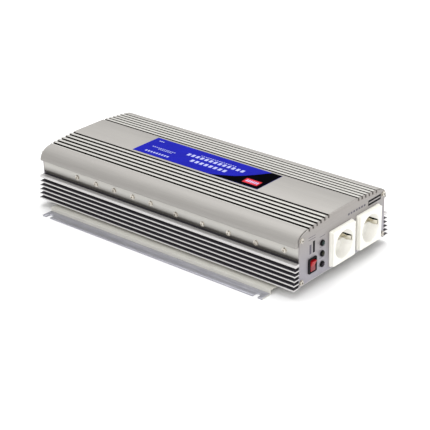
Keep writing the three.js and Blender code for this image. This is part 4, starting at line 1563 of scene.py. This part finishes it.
    def build(self) -> None:
        """Builds the fans and the terminals."""
        for side, cx in (("left", -self.fan_x), ("right", self.fan_x)):
            self.wheel(side, cx)
            self.guard(side, cx)
            self.screws(side, cx)
            dress(softened(f"fan_frame_{side}", f"fan_body_{side}", 0.3), FAN)
        for pole, (z, look) in self.terminals.items():
            self.knob(pole, z, look)
            dress(softened(f"dc_{pole}_insulator", f"terminal_base_{pole}", 0.2), look)
            dress(softened(f"dc_{pole}_stud", f"terminal_stud_{pole}", 0.15), TURNED_BRASS)
            dress(softened(f"dc_{pole}_washer", f"terminal_washer_{pole}", 0.12), BRIGHT)
        dress(softened("ground_screw", "chassis_screw", 0.2), TURNED_BRASS)
        LOG.info("rear: 2 fans, 8 fan screws, 2 terminals, chassis screw")


# ---- the rest, the room and the camera --------------------------------------------------


def dress_inside(record: dict, nodes: dict[str, bpy.types.Object]) -> None:
    """Gives every CAD node that is still shown the finish of its record slot.

    Args:
        record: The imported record.
        nodes: The CAD nodes by name.
    """
    slots = {row["node"]: row["material_slot"] for row in record["subparts"]}
    for name, piece in nodes.items():
        if not piece.hide_render:
            dress(piece, CARRIED_OVER[slots[name]])
    LOG.info("inside: boards, transformers, capacitors, transistors, choke, bus bars")


@dataclass
class Studio:
    """The floor, the lights and the camera."""

    azimuth: float = -49.229
    elevation: float = 25.248
    roll: float = -1.128
    distance: float = 1893.178
    lens: float = 113.3778
    shift: tuple = (9.75, 0.795)
    sensor: float = 36.0
    room: float = 0.6

    def floor(self) -> None:
        """Builds the plain pale floor."""
        bm = bmesh.new()
        bmesh.ops.create_grid(bm, x_segments=2, y_segments=2, size=6.0)
        piece = finish_mesh("studio_floor", bm)
        piece.data.materials.append(PAPER.material())

    def light(self, name: str, place: Vector, size: float, power: float) -> None:
        """Adds a square soft light that looks at the case.

        Args:
            name: The light's name.
            place: Where it hangs, in metres.
            size: Its side in metres.
            power: Its power in watts.
        """
        data = bpy.data.lights.new(name, "AREA")
        data.shape = "SQUARE"
        data.size = size
        data.energy = power
        lamp = bpy.data.objects.new(name, data)
        bpy.context.scene.collection.objects.link(lamp)
        lamp.location = place
        lamp.rotation_mode = "QUATERNION"
        lamp.rotation_quaternion = (Vector((0, 0, 0.04)) - place).to_track_quat("-Z", "Y")

    def camera(self) -> None:
        """Places the camera."""
        a, e, r = (math.radians(v) for v in (self.azimuth, self.elevation, self.roll))
        back = Vector((math.sin(a) * math.cos(e), -math.cos(a) * math.cos(e), math.sin(e)))
        right = Vector((math.cos(a), math.sin(a), 0.0))
        up = back.cross(right)
        side = right * math.cos(r) + up * math.sin(r)
        over = -right * math.sin(r) + up * math.cos(r)
        place = back * self.distance + side * self.shift[0] + over * self.shift[1]
        data = bpy.data.cameras.new("view")
        data.sensor_width = self.sensor
        data.lens = self.lens
        data.clip_start, data.clip_end = 0.05, 100.0
        eye = bpy.data.objects.new("view", data)
        bpy.context.scene.collection.objects.link(eye)
        turn = Matrix((side, over, back)).transposed().to_4x4()
        eye.matrix_world = Matrix.Translation(at(*place)) @ turn
        bpy.context.scene.camera = eye

    def build(self) -> None:
        """Builds the studio."""
        self.floor()
        self.light("overhead", Vector((0.65, 0.35, 2.3)), 2.2, 58.0)
        self.light("left_front", Vector((-2.0, -1.2, 1.3)), 2.0, 27.0)
        self.light("right_front", Vector((1.2, -2.2, 0.9)), 1.6, 12.0)
        world = bpy.data.worlds.new("soft_white_room")
        world.use_nodes = True
        shade = world.node_tree.nodes["Background"]
        shade.inputs["Color"].default_value = (1.0, 1.0, 1.0, 1.0)
        shade.inputs["Strength"].default_value = self.room
        bpy.context.scene.world = world
        self.camera()
        bpy.context.scene.view_settings.view_transform = "Standard"


def main() -> None:
    """Builds the inverter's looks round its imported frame."""
    logging.basicConfig(level=logging.INFO, format="%(name)s: %(message)s")
    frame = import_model()
    Studio().build()
    for assembly in (Case(), Screws(), Outlets(), Controls(), Printing(), Rear()):
        assembly.build()
    dress_inside(frame["record"], frame["nodes"])


if __name__ == "__main__":
    main()
